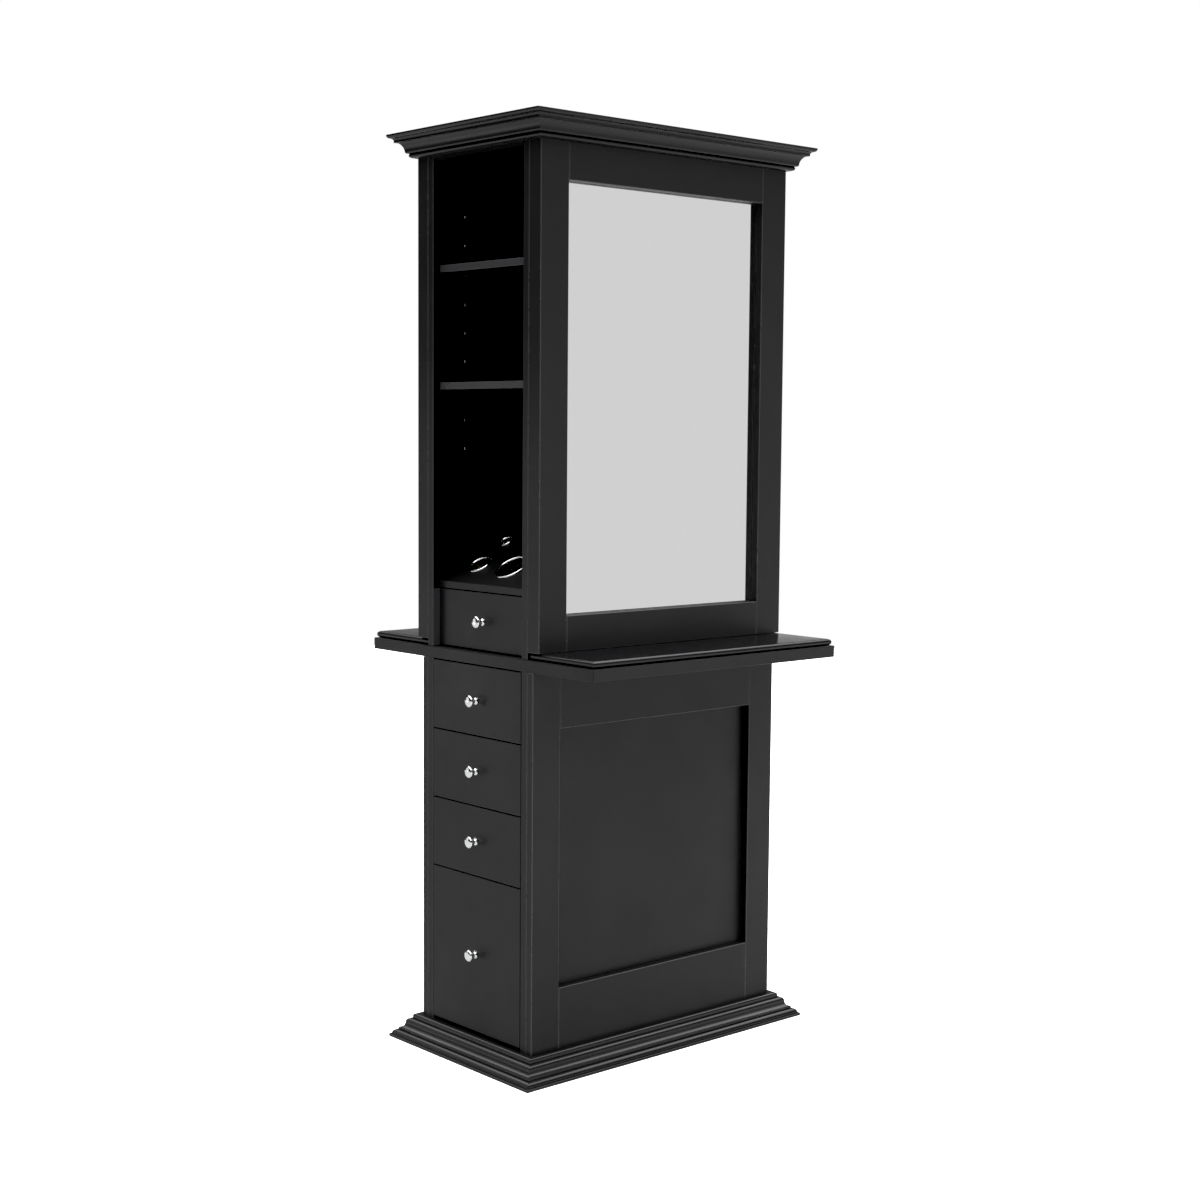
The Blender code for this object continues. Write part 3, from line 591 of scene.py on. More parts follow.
def sprayed_skin():
    """Sprayed lacquer: broad cloudiness in the colour, handled patches in the gloss, and a fine peel."""
    inputs = (("Place", "Vector", None), ("Colour", "Color", None), ("Bloom", "Color", None))
    inputs += (("Gloss Low", "Float", 0.3), ("Gloss High", "Float", 0.5), ("Peel Size", "Float", 0.0012))
    outputs = (("Colour", "Color"), ("Roughness", "Float"), ("Height", "Float"))
    tree, given = new_effect("sprayed_skin", inputs, outputs)
    place = given.outputs["Place"]
    cloud = linked(
        tree, "ShaderNodeTexNoise", {"Scale": 2.3, "Detail": 3.0, "Roughness": 0.55}, {"Vector": place}
    )
    specks = linked(
        tree, "ShaderNodeTexNoise", {"Scale": 260.0, "Detail": 2.0, "Roughness": 0.6}, {"Vector": place}
    )
    speck_mask = ranged(tree, specks.outputs[0], 0.0, 0.35, 0.62, 0.82)
    cloud_mask = ranged(tree, cloud.outputs[0], 0.0, 1.0, 0.35, 0.68)
    total = reckoned(tree, "ADD", cloud_mask, speck_mask, use_clamp=True)
    tint = linked(
        tree, "ShaderNodeMix", links={0: total, 6: given.outputs["Colour"], 7: given.outputs["Bloom"]},
        data_type="RGBA",
    )
    patches = linked(
        tree, "ShaderNodeTexNoise", {"Scale": 7.0, "Detail": 4.0, "Roughness": 0.62}, {"Vector": place}
    )
    gloss = linked(
        tree, "ShaderNodeMapRange", {"From Min": 0.3, "From Max": 0.7},
        {
            "Value": patches.outputs[0],
            "To Min": given.outputs["Gloss Low"],
            "To Max": given.outputs["Gloss High"],
        },
    )
    per_metre = reckoned(tree, "DIVIDE", 1.0, given.outputs["Peel Size"])
    peel = linked(tree, "ShaderNodeTexNoise", {"Detail": 1.5}, {"Vector": place, "Scale": per_metre})
    linked(
        tree, "NodeGroupOutput",
        links={"Colour": tint.outputs[2], "Roughness": gloss.outputs[0], "Height": peel.outputs[0]},
    )
    return tree


def fine_scratches():
    """Hairline wiping marks and smears on a polished surface."""
    inputs = (("Place", "Vector", None), ("Gloss Low", "Float", 0.02), ("Gloss High", "Float", 0.1))
    outputs = (("Roughness", "Float"), ("Height", "Float"))
    tree, given = new_effect("fine_scratches", inputs, outputs)
    turned = linked(
        tree,
        "ShaderNodeMapping",
        {"Scale": (900.0, 40.0, 40.0), "Rotation": (0.3, 0.5, 0.2)},
        {"Vector": given.outputs["Place"]},
    )
    hair = linked(tree, "ShaderNodeTexNoise", {"Scale": 1.0, "Detail": 3.0}, {"Vector": turned.outputs[0]})
    smear = linked(
        tree, "ShaderNodeTexNoise", {"Scale": 9.0, "Detail": 3.0}, {"Vector": given.outputs["Place"]}
    )
    mixed = reckoned(tree, "MULTIPLY", hair.outputs[0], smear.outputs[0])
    gloss = linked(
        tree, "ShaderNodeMapRange", {"From Min": 0.12, "From Max": 0.45},
        {"Value": mixed, "To Min": given.outputs["Gloss Low"], "To Max": given.outputs["Gloss High"]},
    )
    linked(tree, "NodeGroupOutput", links={"Roughness": gloss.outputs[0], "Height": hair.outputs[0]})
    return tree


def effect(tree, name, values=None, links=None):
    """Places a shared effect, building it the first time."""
    makers = {"sprayed_skin": sprayed_skin, "fine_scratches": fine_scratches, "plywood": plywood}
    group = bpy.data.node_groups.get(name) or makers[name]()
    return linked(tree, "ShaderNodeGroup", values, links, node_tree=group)


def bumped(tree, shader, height, distance, strength=1.0):
    bump = linked(tree, "ShaderNodeBump", {"Distance": distance, "Strength": strength}, {"Height": height})
    tree.links.new(bump.outputs[0], shader.inputs["Normal"])


def lacquer(name, colour, bloom, gloss, peel=0.0012, depth=PEEL_DEPTH, specular=0.5):
    """Sprayed lacquer on fibreboard."""
    material, tree, shader = new_finish(name)
    values = {"Colour": (*colour, 1.0), "Bloom": (*bloom, 1.0), "Gloss Low": gloss[0], "Gloss High": gloss[1]}
    values["Peel Size"] = peel
    skin = effect(tree, "sprayed_skin", values, {"Place": coordinates(tree)})
    tree.links.new(skin.outputs["Colour"], shader.inputs["Base Color"])
    tree.links.new(skin.outputs["Roughness"], shader.inputs["Roughness"])
    shader.inputs["Specular IOR Level"].default_value = specular
    bumped(tree, shader, skin.outputs["Height"], depth)
    return material


def beyond(tree, place, axis, reach):
    """One where a place lies further from the middle than reach along an axis."""
    parts = linked(tree, "ShaderNodeSeparateXYZ", links={0: place})
    return reckoned(tree, "GREATER_THAN", reckoned(tree, "ABSOLUTE", parts.outputs[axis]), reach)


def between(tree, place, axis, low, high):
    past_high = beyond(tree, place, axis, high)
    return reckoned(tree, "SUBTRACT", beyond(tree, place, axis, low), past_high)


def two_zone_lacquer(name, zone, edges):
    """The dull inner black, with satin lacquer in a zone and a painted highlight along edges, in the paler arris
    colour.

    The zone and the edges are makers of masks: they take the tree and the place and give a socket.
    """
    material, tree, shader = new_finish(name)
    c = colours()
    place = coordinates(tree)
    outside = zone(tree, place)
    skins = []
    for colour, bloom, low, high in (
        (c.inside, c.inside, 0.50, 0.62),
        (c.lacquer, c.lacquer_dust, 0.33, 0.44),
        # Painted highlight: the paler arris colour, laid along the edges that the mask picks.
        (c.arris, tinted(c.arris, 1.3), 0.24, 0.34),
    ):
        values = {"Colour": (*colour, 1.0), "Bloom": (*bloom, 1.0), "Gloss Low": low, "Gloss High": high}
        skins.append(effect(tree, "sprayed_skin", values, {"Place": place}))
    tint, gloss = skins[0].outputs[0], skins[0].outputs[1]
    for mask, skin in ((outside, skins[1]), (edges(tree, place), skins[2])):
        tint = linked(
            tree, "ShaderNodeMix", links={0: mask, 6: tint, 7: skin.outputs[0]}, data_type="RGBA"
        ).outputs[2]
        gloss = linked(
            tree, "ShaderNodeMix", links={0: mask, 2: gloss, 3: skin.outputs[1]}, data_type="FLOAT"
        ).outputs[0]
    tree.links.new(tint, shader.inputs["Base Color"])
    tree.links.new(gloss, shader.inputs["Roughness"])
    shine = ranged(tree, outside, INSIDE_SHINE, LACQUER_SHINE)
    tree.links.new(shine, shader.inputs["Specular IOR Level"])
    bumped(tree, shader, skins[1].outputs["Height"], PEEL_DEPTH)
    return material


def side_zone(tree, place):
    """Outside the inner faces."""
    return beyond(tree, place, 1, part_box("bottom_board")[1].y + CLEARANCE)


def drawer_return_highlight(tree, place):
    """The strip of the inner face that shows beside the top drawer's front, where light is painted in."""
    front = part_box("left_drawer_1_front")
    past_front = beyond(tree, place, 0, -front[0].x - CLEARANCE)
    return reckoned(tree, "SUBTRACT", past_front, beyond(tree, place, 2, front[1].z))


def side_edge_highlights(tree, place):
    """Painted highlights: the arrises of a side board's ends, and the strip of inner face beside the top drawer,
    in the paler arris colour.
    """
    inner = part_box("bottom_board")[1].y + CONTACT
    width = sizes().arris
    near = between(tree, place, 1, inner, inner + width)
    far = between(tree, place, 1, inner + BOARD - width, inner + BOARD)
    rub = reckoned(tree, "MAXIMUM", near, far)
    ends = reckoned(tree, "MULTIPLY", rub, beyond(tree, place, 0, HALF_LENGTH - width))
    # Painted light: the strip of inner face beside the top drawer is painted in the paler arris colour, as
    # though lit.
    inside = reckoned(tree, "SUBTRACT", drawer_return_highlight(tree, place), beyond(tree, place, 1, inner + CLEARANCE))
    return reckoned(tree, "MAXIMUM", ends, inside)


def shelf_edge_highlights(tree, place):
    """Painted highlight: the front edges of the shelves, above the tool panel, in the paler arris colour."""
    above_panel = beyond(tree, place, 2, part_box("left_tool_panel")[1].z)
    return reckoned(tree, "MULTIPLY", shelf_zone(tree, place), above_panel)


def shelf_zone(tree, place):
    return beyond(tree, place, 0, -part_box("left_shelf_upper")[0].x - CLEARANCE)


def polished_metal(name, colour, gloss, depth=0.000004):
    material, tree, shader = new_finish(name)
    marks = effect(
        tree, "fine_scratches", {"Gloss Low": gloss[0], "Gloss High": gloss[1]}, {"Place": coordinates(tree)}
    )
    worn = linked(tree, "ShaderNodeTexNoise", {"Scale": 60.0, "Detail": 2.0}, {"Vector": coordinates(tree)})
    tint = linked(
        tree, "ShaderNodeMix", {6: (*(0.985 * part for part in colour), 1.0), 7: (*colour, 1.0)},
        {0: worn.outputs[0]}, data_type="RGBA",
    )
    tree.links.new(tint.outputs[2], shader.inputs["Base Color"])
    tree.links.new(marks.outputs["Roughness"], shader.inputs["Roughness"])
    shader.inputs["Metallic"].default_value = 1.0
    bumped(tree, shader, marks.outputs["Height"], depth)
    return material


def plywood():
    """Birch ply: long grain on the faces and the plies showing on the edges."""
    inputs = (
        ("Along", "Vector", None), ("Across", "Float", 0.0), ("Pale", "Color", None), ("Dark", "Color", None)
    )
    outputs = (("Colour", "Color"), ("Roughness", "Float"), ("Height", "Float"))
    tree, given = new_effect("plywood", inputs, outputs)
    broad = linked(
        tree,
        "ShaderNodeTexNoise",
        {"Scale": 1.0, "Detail": 5.0, "Roughness": 0.6},
        {"Vector": given.outputs["Along"]},
    )
    fibre_place = linked(
        tree, "ShaderNodeVectorMath", {1: (6.0, 6.0, 6.0)}, {0: given.outputs["Along"]}, operation="MULTIPLY"
    )
    fibre = linked(
        tree, "ShaderNodeTexNoise", {"Scale": 1.0, "Detail": 4.0}, {"Vector": fibre_place.outputs[0]}
    )
    grain = reckoned(tree, "MULTIPLY", broad.outputs[0], fibre.outputs[0])
    grain_mask = ranged(tree, grain, 0.0, 1.0, 0.12, 0.42)
    plies = reckoned(tree, "MULTIPLY", given.outputs["Across"], 2 * math.pi / PLY)
    ply_mask = ranged(tree, reckoned(tree, "SINE", plies), 0.0, 1.0, -0.25, 0.25)
    facing = linked(tree, "ShaderNodeNewGeometry")
    parts = linked(tree, "ShaderNodeSeparateXYZ", links={0: facing.outputs["Normal"]})
    edge = ranged(tree, reckoned(tree, "ABSOLUTE", parts.outputs[2]), 0.0, 1.0, 0.6, 0.9)
    mask = linked(tree, "ShaderNodeMix", links={0: edge, 2: grain_mask, 3: ply_mask}, data_type="FLOAT")
    tint = linked(
        tree,
        "ShaderNodeMix",
        links={0: mask.outputs[0], 6: given.outputs["Dark"], 7: given.outputs["Pale"]},
        data_type="RGBA",
    )
    rough = ranged(tree, fibre.outputs[0], 0.42, 0.62)
    linked(
        tree,
        "NodeGroupOutput",
        links={"Colour": tint.outputs[2], "Roughness": rough, "Height": fibre.outputs[0]},
    )
    return tree


def birch(name, grain_axis):
    """Lacquered birch ply whose grain runs along X or along Y."""
    material, tree, shader = new_finish(name)
    scale = (4.0, 55.0, 30.0) if grain_axis == 0 else (55.0, 4.0, 30.0)
    source = linked(tree, "ShaderNodeTexCoord")
    parts = linked(tree, "ShaderNodeSeparateXYZ", links={0: source.outputs["Object"]})
    pale, dark = colours().birch_pale, colours().birch_dark
    links = {"Along": coordinates(tree, scale), "Across": parts.outputs[1 - grain_axis]}
    ply = effect(tree, "plywood", {"Pale": (*pale, 1.0), "Dark": (*dark, 1.0)}, links)
    tree.links.new(ply.outputs["Colour"], shader.inputs["Base Color"])
    tree.links.new(ply.outputs["Roughness"], shader.inputs["Roughness"])
    bumped(tree, shader, ply.outputs["Height"], 0.00012)
    return material


def tinted(colour, factor):
    return [factor * part for part in colour]


def finish(name):
    """One of the station's finishes, made the first time that it is asked for."""
    made = bpy.data.materials.get(name)
    if made:
        return made
    c = colours()
    if name == "satin black lacquer":
        return lacquer(name, c.lacquer, c.lacquer_dust, (0.33, 0.44), specular=LACQUER_SHINE)
    # Painted shade: the crown's lacquer is darkened to 0.6 of the boards' all over, standing for shade in its
    # hollows.
    if name == "crown lacquer with painted shade":
        return lacquer(name, tinted(c.lacquer, 0.6), c.lacquer, (0.24, 0.32), specular=0.30)
    # Painted shade: the base's lacquer is darkened the same way.
    if name == "base lacquer with painted shade":
        return lacquer(name, tinted(c.lacquer, 0.6), c.lacquer, (0.20, 0.28), specular=0.45)
    # Painted highlight on the eased edges, over slightly rubbed paint.
    if name == "arris with painted highlight":
        return lacquer(name, c.arris, tinted(c.arris, 1.3), (0.24, 0.34))
    if name == "dull black inside":
        return lacquer(name, c.inside, tinted(c.inside, 1.5), (0.5, 0.62), 0.0016, 0.0001, INSIDE_SHINE)
    if name == "gloss black laminate":
        return lacquer(name, c.laminate, tinted(c.laminate, 1.5), (0.13, 0.22), 0.003, 0.00003, 0.36)
    # Both two-zone finishes carry painted highlights in the arris colour along their edges.
    if name == "lacquered side, dull inside":
        return two_zone_lacquer(name, side_zone, side_edge_highlights)
    if name == "lacquered edge, dull faces":
        return two_zone_lacquer(name, shelf_zone, shelf_edge_highlights)
    if name == "polished chrome":
        return polished_metal(name, c.chrome, (0.03, 0.10))
    if name == "zinc-plated steel":
        return polished_metal(name, c.steel, (0.22, 0.38), 0.00001)
    if name == "silvered mirror":
        return polished_metal(name, c.silver, (0.0, 0.004), 0.0)
    if name == "ground mirror edge with painted glow":
        edge = polished_metal(name, tinted(c.silver, 1.1), (0.16, 0.26), 0.00001)
        shader = edge.node_tree.nodes["Principled BSDF"]
        shader.inputs["Emission Color"].default_value = (1.0, 1.0, 1.0, 1.0)
        # Painted glow: the ground edge gives out light of its own, though it is no lamp.
        shader.inputs["Emission Strength"].default_value = 0.15
        return edge
    if name == "birch ply along X":
        return birch(name, 0)
    if name == "birch ply along Y":
        return birch(name, 1)
    raise RuntimeError(f"there is no finish {name}")


def dress_node(node, name):
    """Gives a CAD node that keeps its own shape one of the finishes."""
    item = frame["nodes"][node]
    if not item.material_slots:
        item.data.materials.append(None)
    for slot in item.material_slots:
        slot.material = finish(name)


# ---------------------------------------------------------------- the operators, one for each kind of piece
class STATION_OT_boards(bpy.types.Operator):
    """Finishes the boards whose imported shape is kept: carcass, counter board, shelves and drawer fronts"""

    bl_idname = "station.boards"
    bl_label = "Finish the boards"

    def execute(self, context):
        for node in ("counter_board", "top_board"):
            dress_node(node, "satin black lacquer")
        for node in ("bottom_board", "centre_divider"):
            dress_node(node, "dull black inside")
        for name, _ in SIDES:
            dress_node(f"lower_side_{name}", "lacquered side, dull inside")
            dress_node(f"upper_side_{name}", "lacquered side, dull inside")
        for end, _ in ENDS:
            for node in ("shelf_upper", "shelf_lower", "tool_panel"):
                dress_node(f"{end}_{node}", "lacquered edge, dull faces")
            for number in DRAWERS:
                dress_node(f"{end}_drawer_{number}_front", "satin black lacquer")
        return {"FINISHED"}


class STATION_OT_frames(bpy.types.Operator):
    """Builds the four frames from stiles and rails with eased edges and open joint lines"""

    bl_idname = "station.frames"
    bl_label = "Build the frames"

    def execute(self, context):
        for name, side in SIDES:
            self.build(f"mirror_frame_{name}", space(f"mirror_recess_{name}"), side, sizes().mirror_rebate)
            self.build(f"lower_frame_{name}", space(f"lower_recess_{name}"), side, 0.0)
        return {"FINISHED"}

    def build(self, node, window, side, rebate):
        """Stiles run the full height. The rails stand between them, a joint line apart."""
        low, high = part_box(node)
        sill, head = window[0].z, window[1].z
        outer, inner = (low.y, high.y) if side < 0 else (high.y, low.y)
        step = outer - side * sizes().mirror_lip if rebate else inner
        rail_end = high.x - sizes().stile - sizes().joint_line
        shape = bmesh.new()
        for end in (-1, 1):
            edge, sight = end * high.x, end * (high.x - sizes().stile)
            outline = self.section((edge, outer), (sight, inner), step, end * rebate)
            add_strip(shape, outline, 2, low.z, high.z)
        for bottom, top, into in ((low.z, sill, -rebate), (high.z, head, rebate)):
            outline = self.section((bottom, outer), (top, inner), step, into)
            add_strip(shape, [(y, z) for z, y in outline], 0, -rail_end, rail_end)
        # The arris bevel's faces take the arris finish, a painted highlight.
        finish_piece(
            f"{node}_joinery", shape, [finish("satin black lacquer")], "cabinet", [node],
            arris=sizes().arris, arris_finish=finish("arris with painted highlight"),
        )

    def section(self, start, end, step, into):
        """A member's outline from its outer face, with the rebate for the glass where into isn't zero."""
        if not into:
            return [start, (end[0], start[1]), end, (start[0], end[1])]
        return [
            start,
            (end[0], start[1]),
            (end[0], step),
            (end[0] + into, step),
            (end[0] + into, end[1]),
            (start[0], end[1]),
        ]


MIRROR_BEVEL_DEPTH = 0.0002


class STATION_OT_mirrors(bpy.types.Operator):
    """Builds both mirrors, with a narrow polished bevel along the frame"""

    bl_idname = "station.mirrors"
    bl_label = "Build the mirrors"

    def execute(self, context):
        for name, side in SIDES:
            low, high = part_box(f"mirror_{name}")
            window = space(f"mirror_recess_{name}")
            face, rear = (low.y, high.y) if side < 0 else (high.y, low.y)
            sight = (window[1].x, window[0].z, window[1].z)
            inset = sizes().mirror_bevel
            loops = [
                self.loop(high.x, low.z, high.z, rear),
                self.loop(high.x, low.z, high.z, face - side * MIRROR_BEVEL_DEPTH),
                self.loop(*sight, face - side * MIRROR_BEVEL_DEPTH),
                self.loop(sight[0] - inset, sight[1] + inset, sight[2] - inset, face),
            ]
            shape = bmesh.new()
            rings = [[shape.verts.new(point) for point in loop] for loop in loops]
            for outer, inner in zip(rings, rings[1:]):
                for index in range(4):
                    after = (index + 1) % 4
                    strip = shape.faces.new((outer[index], outer[after], inner[after], inner[index]))
                    strip.material_index = 1
            shape.faces.new(rings[0])
            shape.faces.new(rings[-1])
            finishes = [finish("silvered mirror"), finish("ground mirror edge with painted glow")]
            finish_piece(
                f"mirror_{name}_glass", shape, finishes, "cabinet", [f"mirror_{name}"]
            )
        return {"FINISHED"}

    def loop(self, half, bottom, top, y):
        return [(-half, y, bottom), (half, y, bottom), (half, y, top), (-half, y, top)]


class STATION_OT_mouldings(bpy.types.Operator):
    """Sweeps the crown and the base moulding round the cabinet, mitred at the corners"""

    bl_idname = "station.mouldings"
    bl_label = "Sweep the mouldings"

    def execute(self, context):
        low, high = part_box("crown_moulding")
        crown = self.crown(high.x - HALF_LENGTH, high.z, high.z - low.z, CONTACT)
        self.build("crown_moulding", crown, UPPER_HALF_WIDTH, "crown lacquer with painted shade")
        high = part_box("base_moulding")[1]
        base = self.base(high.x - HALF_LENGTH, high.z, CONTACT)
        self.build("base_moulding", base, LOWER_HALF_WIDTH, "base lacquer with painted shade")
        return {"FINISHED"}

    def build(self, node, profile, half_width, look):
        dressed = finish(look)
        shape = swept_moulding(node, profile, HALF_LENGTH, half_width, dressed)
        finish_piece(
            f"{node}_run", shape, [dressed], "cabinet", [node],
            round_angle=math.radians(24),
        )

    def crown(self, reach, top, height, back):
        """From the top edge down: fillet, ogee, fillet, cove with a round foot, and a bead."""

        def spot(inward, drop):
            return (reach - inward, top - drop)

        ogee_middle, ogee_end = spot(0.0055, 0.0085), spot(0.0120, 0.0135)
        cove_start, cove_end = spot(0.0185, 0.0180), spot(0.0295, 0.0375)
        foot, bead_top, bead_end = spot(0.0335, 0.0415), spot(0.0375, 0.0415), spot(0.0380, 0.0500)
        points = [(back, top), spot(0.0004, 0), spot(0, 0.0004), spot(0, 0.0025)]
        points += bowed(points[-1], ogee_middle, 0.0013)
        points += bowed(ogee_middle, ogee_end, -0.0013)
        points += [
            spot(0.0120, 0.0177), spot(0.0123, 0.0180), *self.quirk(cove_start, 0.0012, 0.0025), cove_start
        ]
        points += bowed(cove_start, cove_end, -0.0025)
        points += bowed(cove_end, foot, 0.0010)
        points += [*self.quirk(bead_top, 0.0012, 0.0025), bead_top]
        points += bowed(bead_top, bead_end, 0.0022, 12)
        points += [spot(0.0410, 0.0512), (back, top - height)]
        return points

    def quirk(self, corner, across, deep):
        """A narrow groove in an inner corner, from its outer lip to its inner wall."""
        reach, height = corner
        return [(reach + across, height), (reach + across, height + deep), (reach, height + deep)]

    def base(self, reach, height, back):
        """From the ledge down: round, upright, quarter round, upright, cove, fillet, round and plinth."""
        ledge, shoulder = (0.0125, height), (0.0170, height - 0.0045)
        round_start, round_end = (0.0225, 0.0430), (0.0290, 0.0350)
        cove_start, cove_end = (0.0290, 0.0300), (0.0400, 0.0215)
        swell_start, swell_end = (0.0425, 0.0170), (0.0515, 0.0085)
        points = [(back, height), ledge]
        points += bowed(ledge, shoulder, 0.0009)
        points += [*self.quirk((shoulder[0], round_start[1]), 0.0012, -0.003)[::-1], round_start]
        points += bowed(round_start, round_end, 0.0016)
        points += self.quirk(cove_start, 0.0010, -0.002)[::-1]
        points += bowed(cove_start, cove_end, -0.0020)[1:]
        points += [*self.quirk((cove_end[0], swell_start[1]), 0.0011, -0.0025)[::-1], swell_start]
        points += bowed(swell_start, swell_end, 0.0018)
        points += [
            (swell_end[0], 0.0060), (reach - 0.0005, 0.0060), (reach, 0.0055), (reach, 0.0), (back, 0.0)
        ]
        return points


class STATION_OT_counter_tops(bpy.types.Operator):
    """Builds the two bullnosed counter tops"""

    bl_idname = "station.counter_tops"
    bl_label = "Build the counter tops"

    def execute(self, context):
        for name, side in SIDES:
            node = f"counter_top_{name}"
            low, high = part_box(node)
            radius = (high.z - low.z) / 2
            outer, inner = (low.y, high.y) if side < 0 else (high.y, low.y)
            shape = bmesh.new()
            rings = []
            for out, up in arc((0.0, 0.0), radius, -90, 90, 20):
                inset = radius - out
                x, y = high.x - inset, outer - side * inset
                corners = [(-x, inner), (-x, y), (x, y), (x, inner)]
                rings.append([shape.verts.new((cx, cy, (low.z + high.z) / 2 + up)) for cx, cy in corners])
            for lower, upper in zip(rings, rings[1:]):
                for index in range(4):
                    after = (index + 1) % 4
                    shape.faces.new((lower[index], lower[after], upper[after], upper[index]))
            shape.faces.new(rings[0][::-1])
            shape.faces.new(rings[-1])
            finish_piece(
                f"{node}_slab",
                shape,
                [finish("gloss black laminate")],
                "cabinet",
                [node],
                round_angle=math.radians(30),
            )
        return {"FINISHED"}


SLEEVE_WALL = 0.0012  # of a tool ring's sleeve
RIM_FOOT = 0.0006  # height at which a tool ring's rim starts to round
RING_FACETS = 72


class STATION_OT_tool_rings(bpy.types.Operator):
    """Turns the chrome rings of the sloped tool panels"""

    bl_idname = "station.tool_rings"
    bl_label = "Turn the tool rings"

    def execute(self, context):
        for end, turn in ENDS:
            for size in RING_SIZES:
                self.build(end, turn, size)
        return {"FINISHED"}

    def build(self, end, turn, size):
        node = f"{end}_tool_ring_{size}"
        low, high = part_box(node)
        radius = (high.y - low.y) / 2
        window = space(f"{end}_tool_hole_{size}")
        middle = (window[0] + window[1]) / 2
        slope = turn * sizes().tool_slope
        tilt = Matrix.Rotation(-slope, 4, "Y")
        depth = (sizes().sleeve_length - sizes().ring_height) / 2
        place = Matrix.Translation(middle) @ tilt @ Matrix.Translation((0.0, 0.0, depth))
        shape = bmesh.new()
        loops = []
        section = self.section(radius)
        for step in range(RING_FACETS):
            angle = 2 * math.pi * step / RING_FACETS
            loop = []
            for reach, lift in section:
                point = Vector((reach * math.cos(angle), reach * math.sin(angle), lift))
                loop.append(shape.verts.new(place @ point))
            loops.append(loop)
        count = len(section)
        for step in range(RING_FACETS):
            here, there = loops[step], loops[(step + 1) % RING_FACETS]
            for point in range(count):
                after = (point + 1) % count
                shape.faces.new((here[point], there[point], there[after], here[after]))
        finish_piece(
            f"{node}_rim", shape, [finish("polished chrome")], "cabinet", [node],
            round_angle=math.radians(35),
        )

    def section(self, radius):
        """The rim is a half round on the panel. The sleeve's wall ends in a rolled edge."""
        width, rise, wall = sizes().ring_width, sizes().ring_height, SLEEVE_WALL
        bore = radius - width
        points = [(bore + wall, CONTACT), (radius, CONTACT)]
        centre = radius - width / 2
        for step in range(1, 12):
            angle = math.pi * step / 12
            points.append((centre + width / 2 * math.cos(angle), RIM_FOOT + rise * math.sin(angle)))
        points.append((bore, CONTACT))
        foot = -sizes().sleeve_length
        points += arc((bore + wall / 2, foot + wall / 2), wall / 2, 180, 360, 6)
        return points


KNOB_FLANGE_SHARE = 0.68  # radius of the flange, as a share of the head's
KNOB_NECK_SHARE = 0.32
KNOB_WAIST_SHARE = 0.96  # of the neck, where it meets the head
KNOB_UNDERSIDE_SHARE = 0.94  # of the head, where its underside turns into the rim
KNOB_STUD = 0.010
KNOB_STUD_RADIUS = 0.002
KNOB_FLANGE = 0.0016
KNOB_EASE = 0.0005
KNOB_FLARE = 0.0052  # length over which the flange narrows to the neck
KNOB_FLARE_POWER = 2.6
KNOB_HEAD = 0.0095  # from the waist to the crown
KNOB_UNDERSIDE = 0.0042
KNOB_RIM = 0.0011
KNOB_FACETS = 48


class STATION_OT_drawer_pulls(bpy.types.Operator):
    """Turns the chrome mushroom knobs of the drawers"""

    bl_idname = "station.drawer_pulls"
    bl_label = "Turn the drawer knobs"

    def execute(self, context):
        for end, turn in ENDS:
            for number in DRAWERS:
                self.build(f"{end}_drawer_{number}", turn)
        return {"FINISHED"}

    def build(self, drawer, turn):
        low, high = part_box(f"{drawer}_knob")
        front_low, front_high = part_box(f"{drawer}_front")
        face = front_low.x if turn > 0 else front_high.x
        crown = abs((low.x if turn > 0 else high.x) - face)
        head = (high.y - low.y) / 2
        flange, neck = KNOB_FLANGE_SHARE * head, KNOB_NECK_SHARE * head
        flange_top = CONTACT + KNOB_FLANGE
        profile = [(-KNOB_STUD, 0.0), (-KNOB_STUD, KNOB_STUD_RADIUS), (CONTACT, KNOB_STUD_RADIUS)]
        profile += [(CONTACT, flange - KNOB_EASE), (CONTACT + KNOB_EASE, flange), (flange_top, flange)]
        for step in range(1, 9):
            t = step / 8
            profile.append(
                (flange_top + KNOB_FLARE * t, neck + (flange - neck) * (1 - t) ** KNOB_FLARE_POWER)
            )
        waist = crown - KNOB_HEAD
        profile.append((waist, neck * KNOB_WAIST_SHARE))
        for step in range(1, 7):
            angle = math.radians(90 * step / 6)
            lift = KNOB_UNDERSIDE * (1 - math.cos(angle))
            profile.append((waist + lift, neck + (head * KNOB_UNDERSIDE_SHARE - neck) * math.sin(angle)))
        rim = waist + KNOB_UNDERSIDE
        for step in range(1, 7):
            angle = math.radians(-70 + 150 * step / 6)
            out, up = KNOB_RIM * math.cos(angle), KNOB_RIM * math.sin(angle)
            profile.append((rim + KNOB_RIM + up, head - KNOB_RIM + out))
        shoulder, shoulder_radius = profile[-1]
        for step in range(1, 10):
            angle = math.pi / 2 * (step / 9)
            lift = (crown - shoulder) * math.sin(angle)
            profile.append((shoulder + lift, shoulder_radius * math.cos(angle)))
        profile[-1] = (crown, 0.0)
        aim = Vector((-turn, 0, 0)).to_track_quat("Z", "Y").to_matrix().to_4x4()
        place = Matrix.Translation((face, (low.y + high.y) / 2, (low.z + high.z) / 2)) @ aim
        shape = bmesh.new()
        add_turned(shape, profile, place, KNOB_FACETS)
        finish_piece(
            f"{drawer}_pull",
            shape,
            [finish("polished chrome")],
            drawer,
            [f"{drawer}_knob"],
            round_angle=math.radians(38),
        )


GROOVE_DEPTH = 0.0085  # of the runner's groove in a drawer box
GROOVE_BELOW = 0.0095  # from the runner's middle to the groove's lower edge
GROOVE_ABOVE = 0.0083
RUNNER_LEVEL = 0.060  # greatest height of a runner's middle over its box's lower edge
LET_IN = 0.004  # how far a box's bottom is let into its walls
BOX_BOTTOM = 0.005


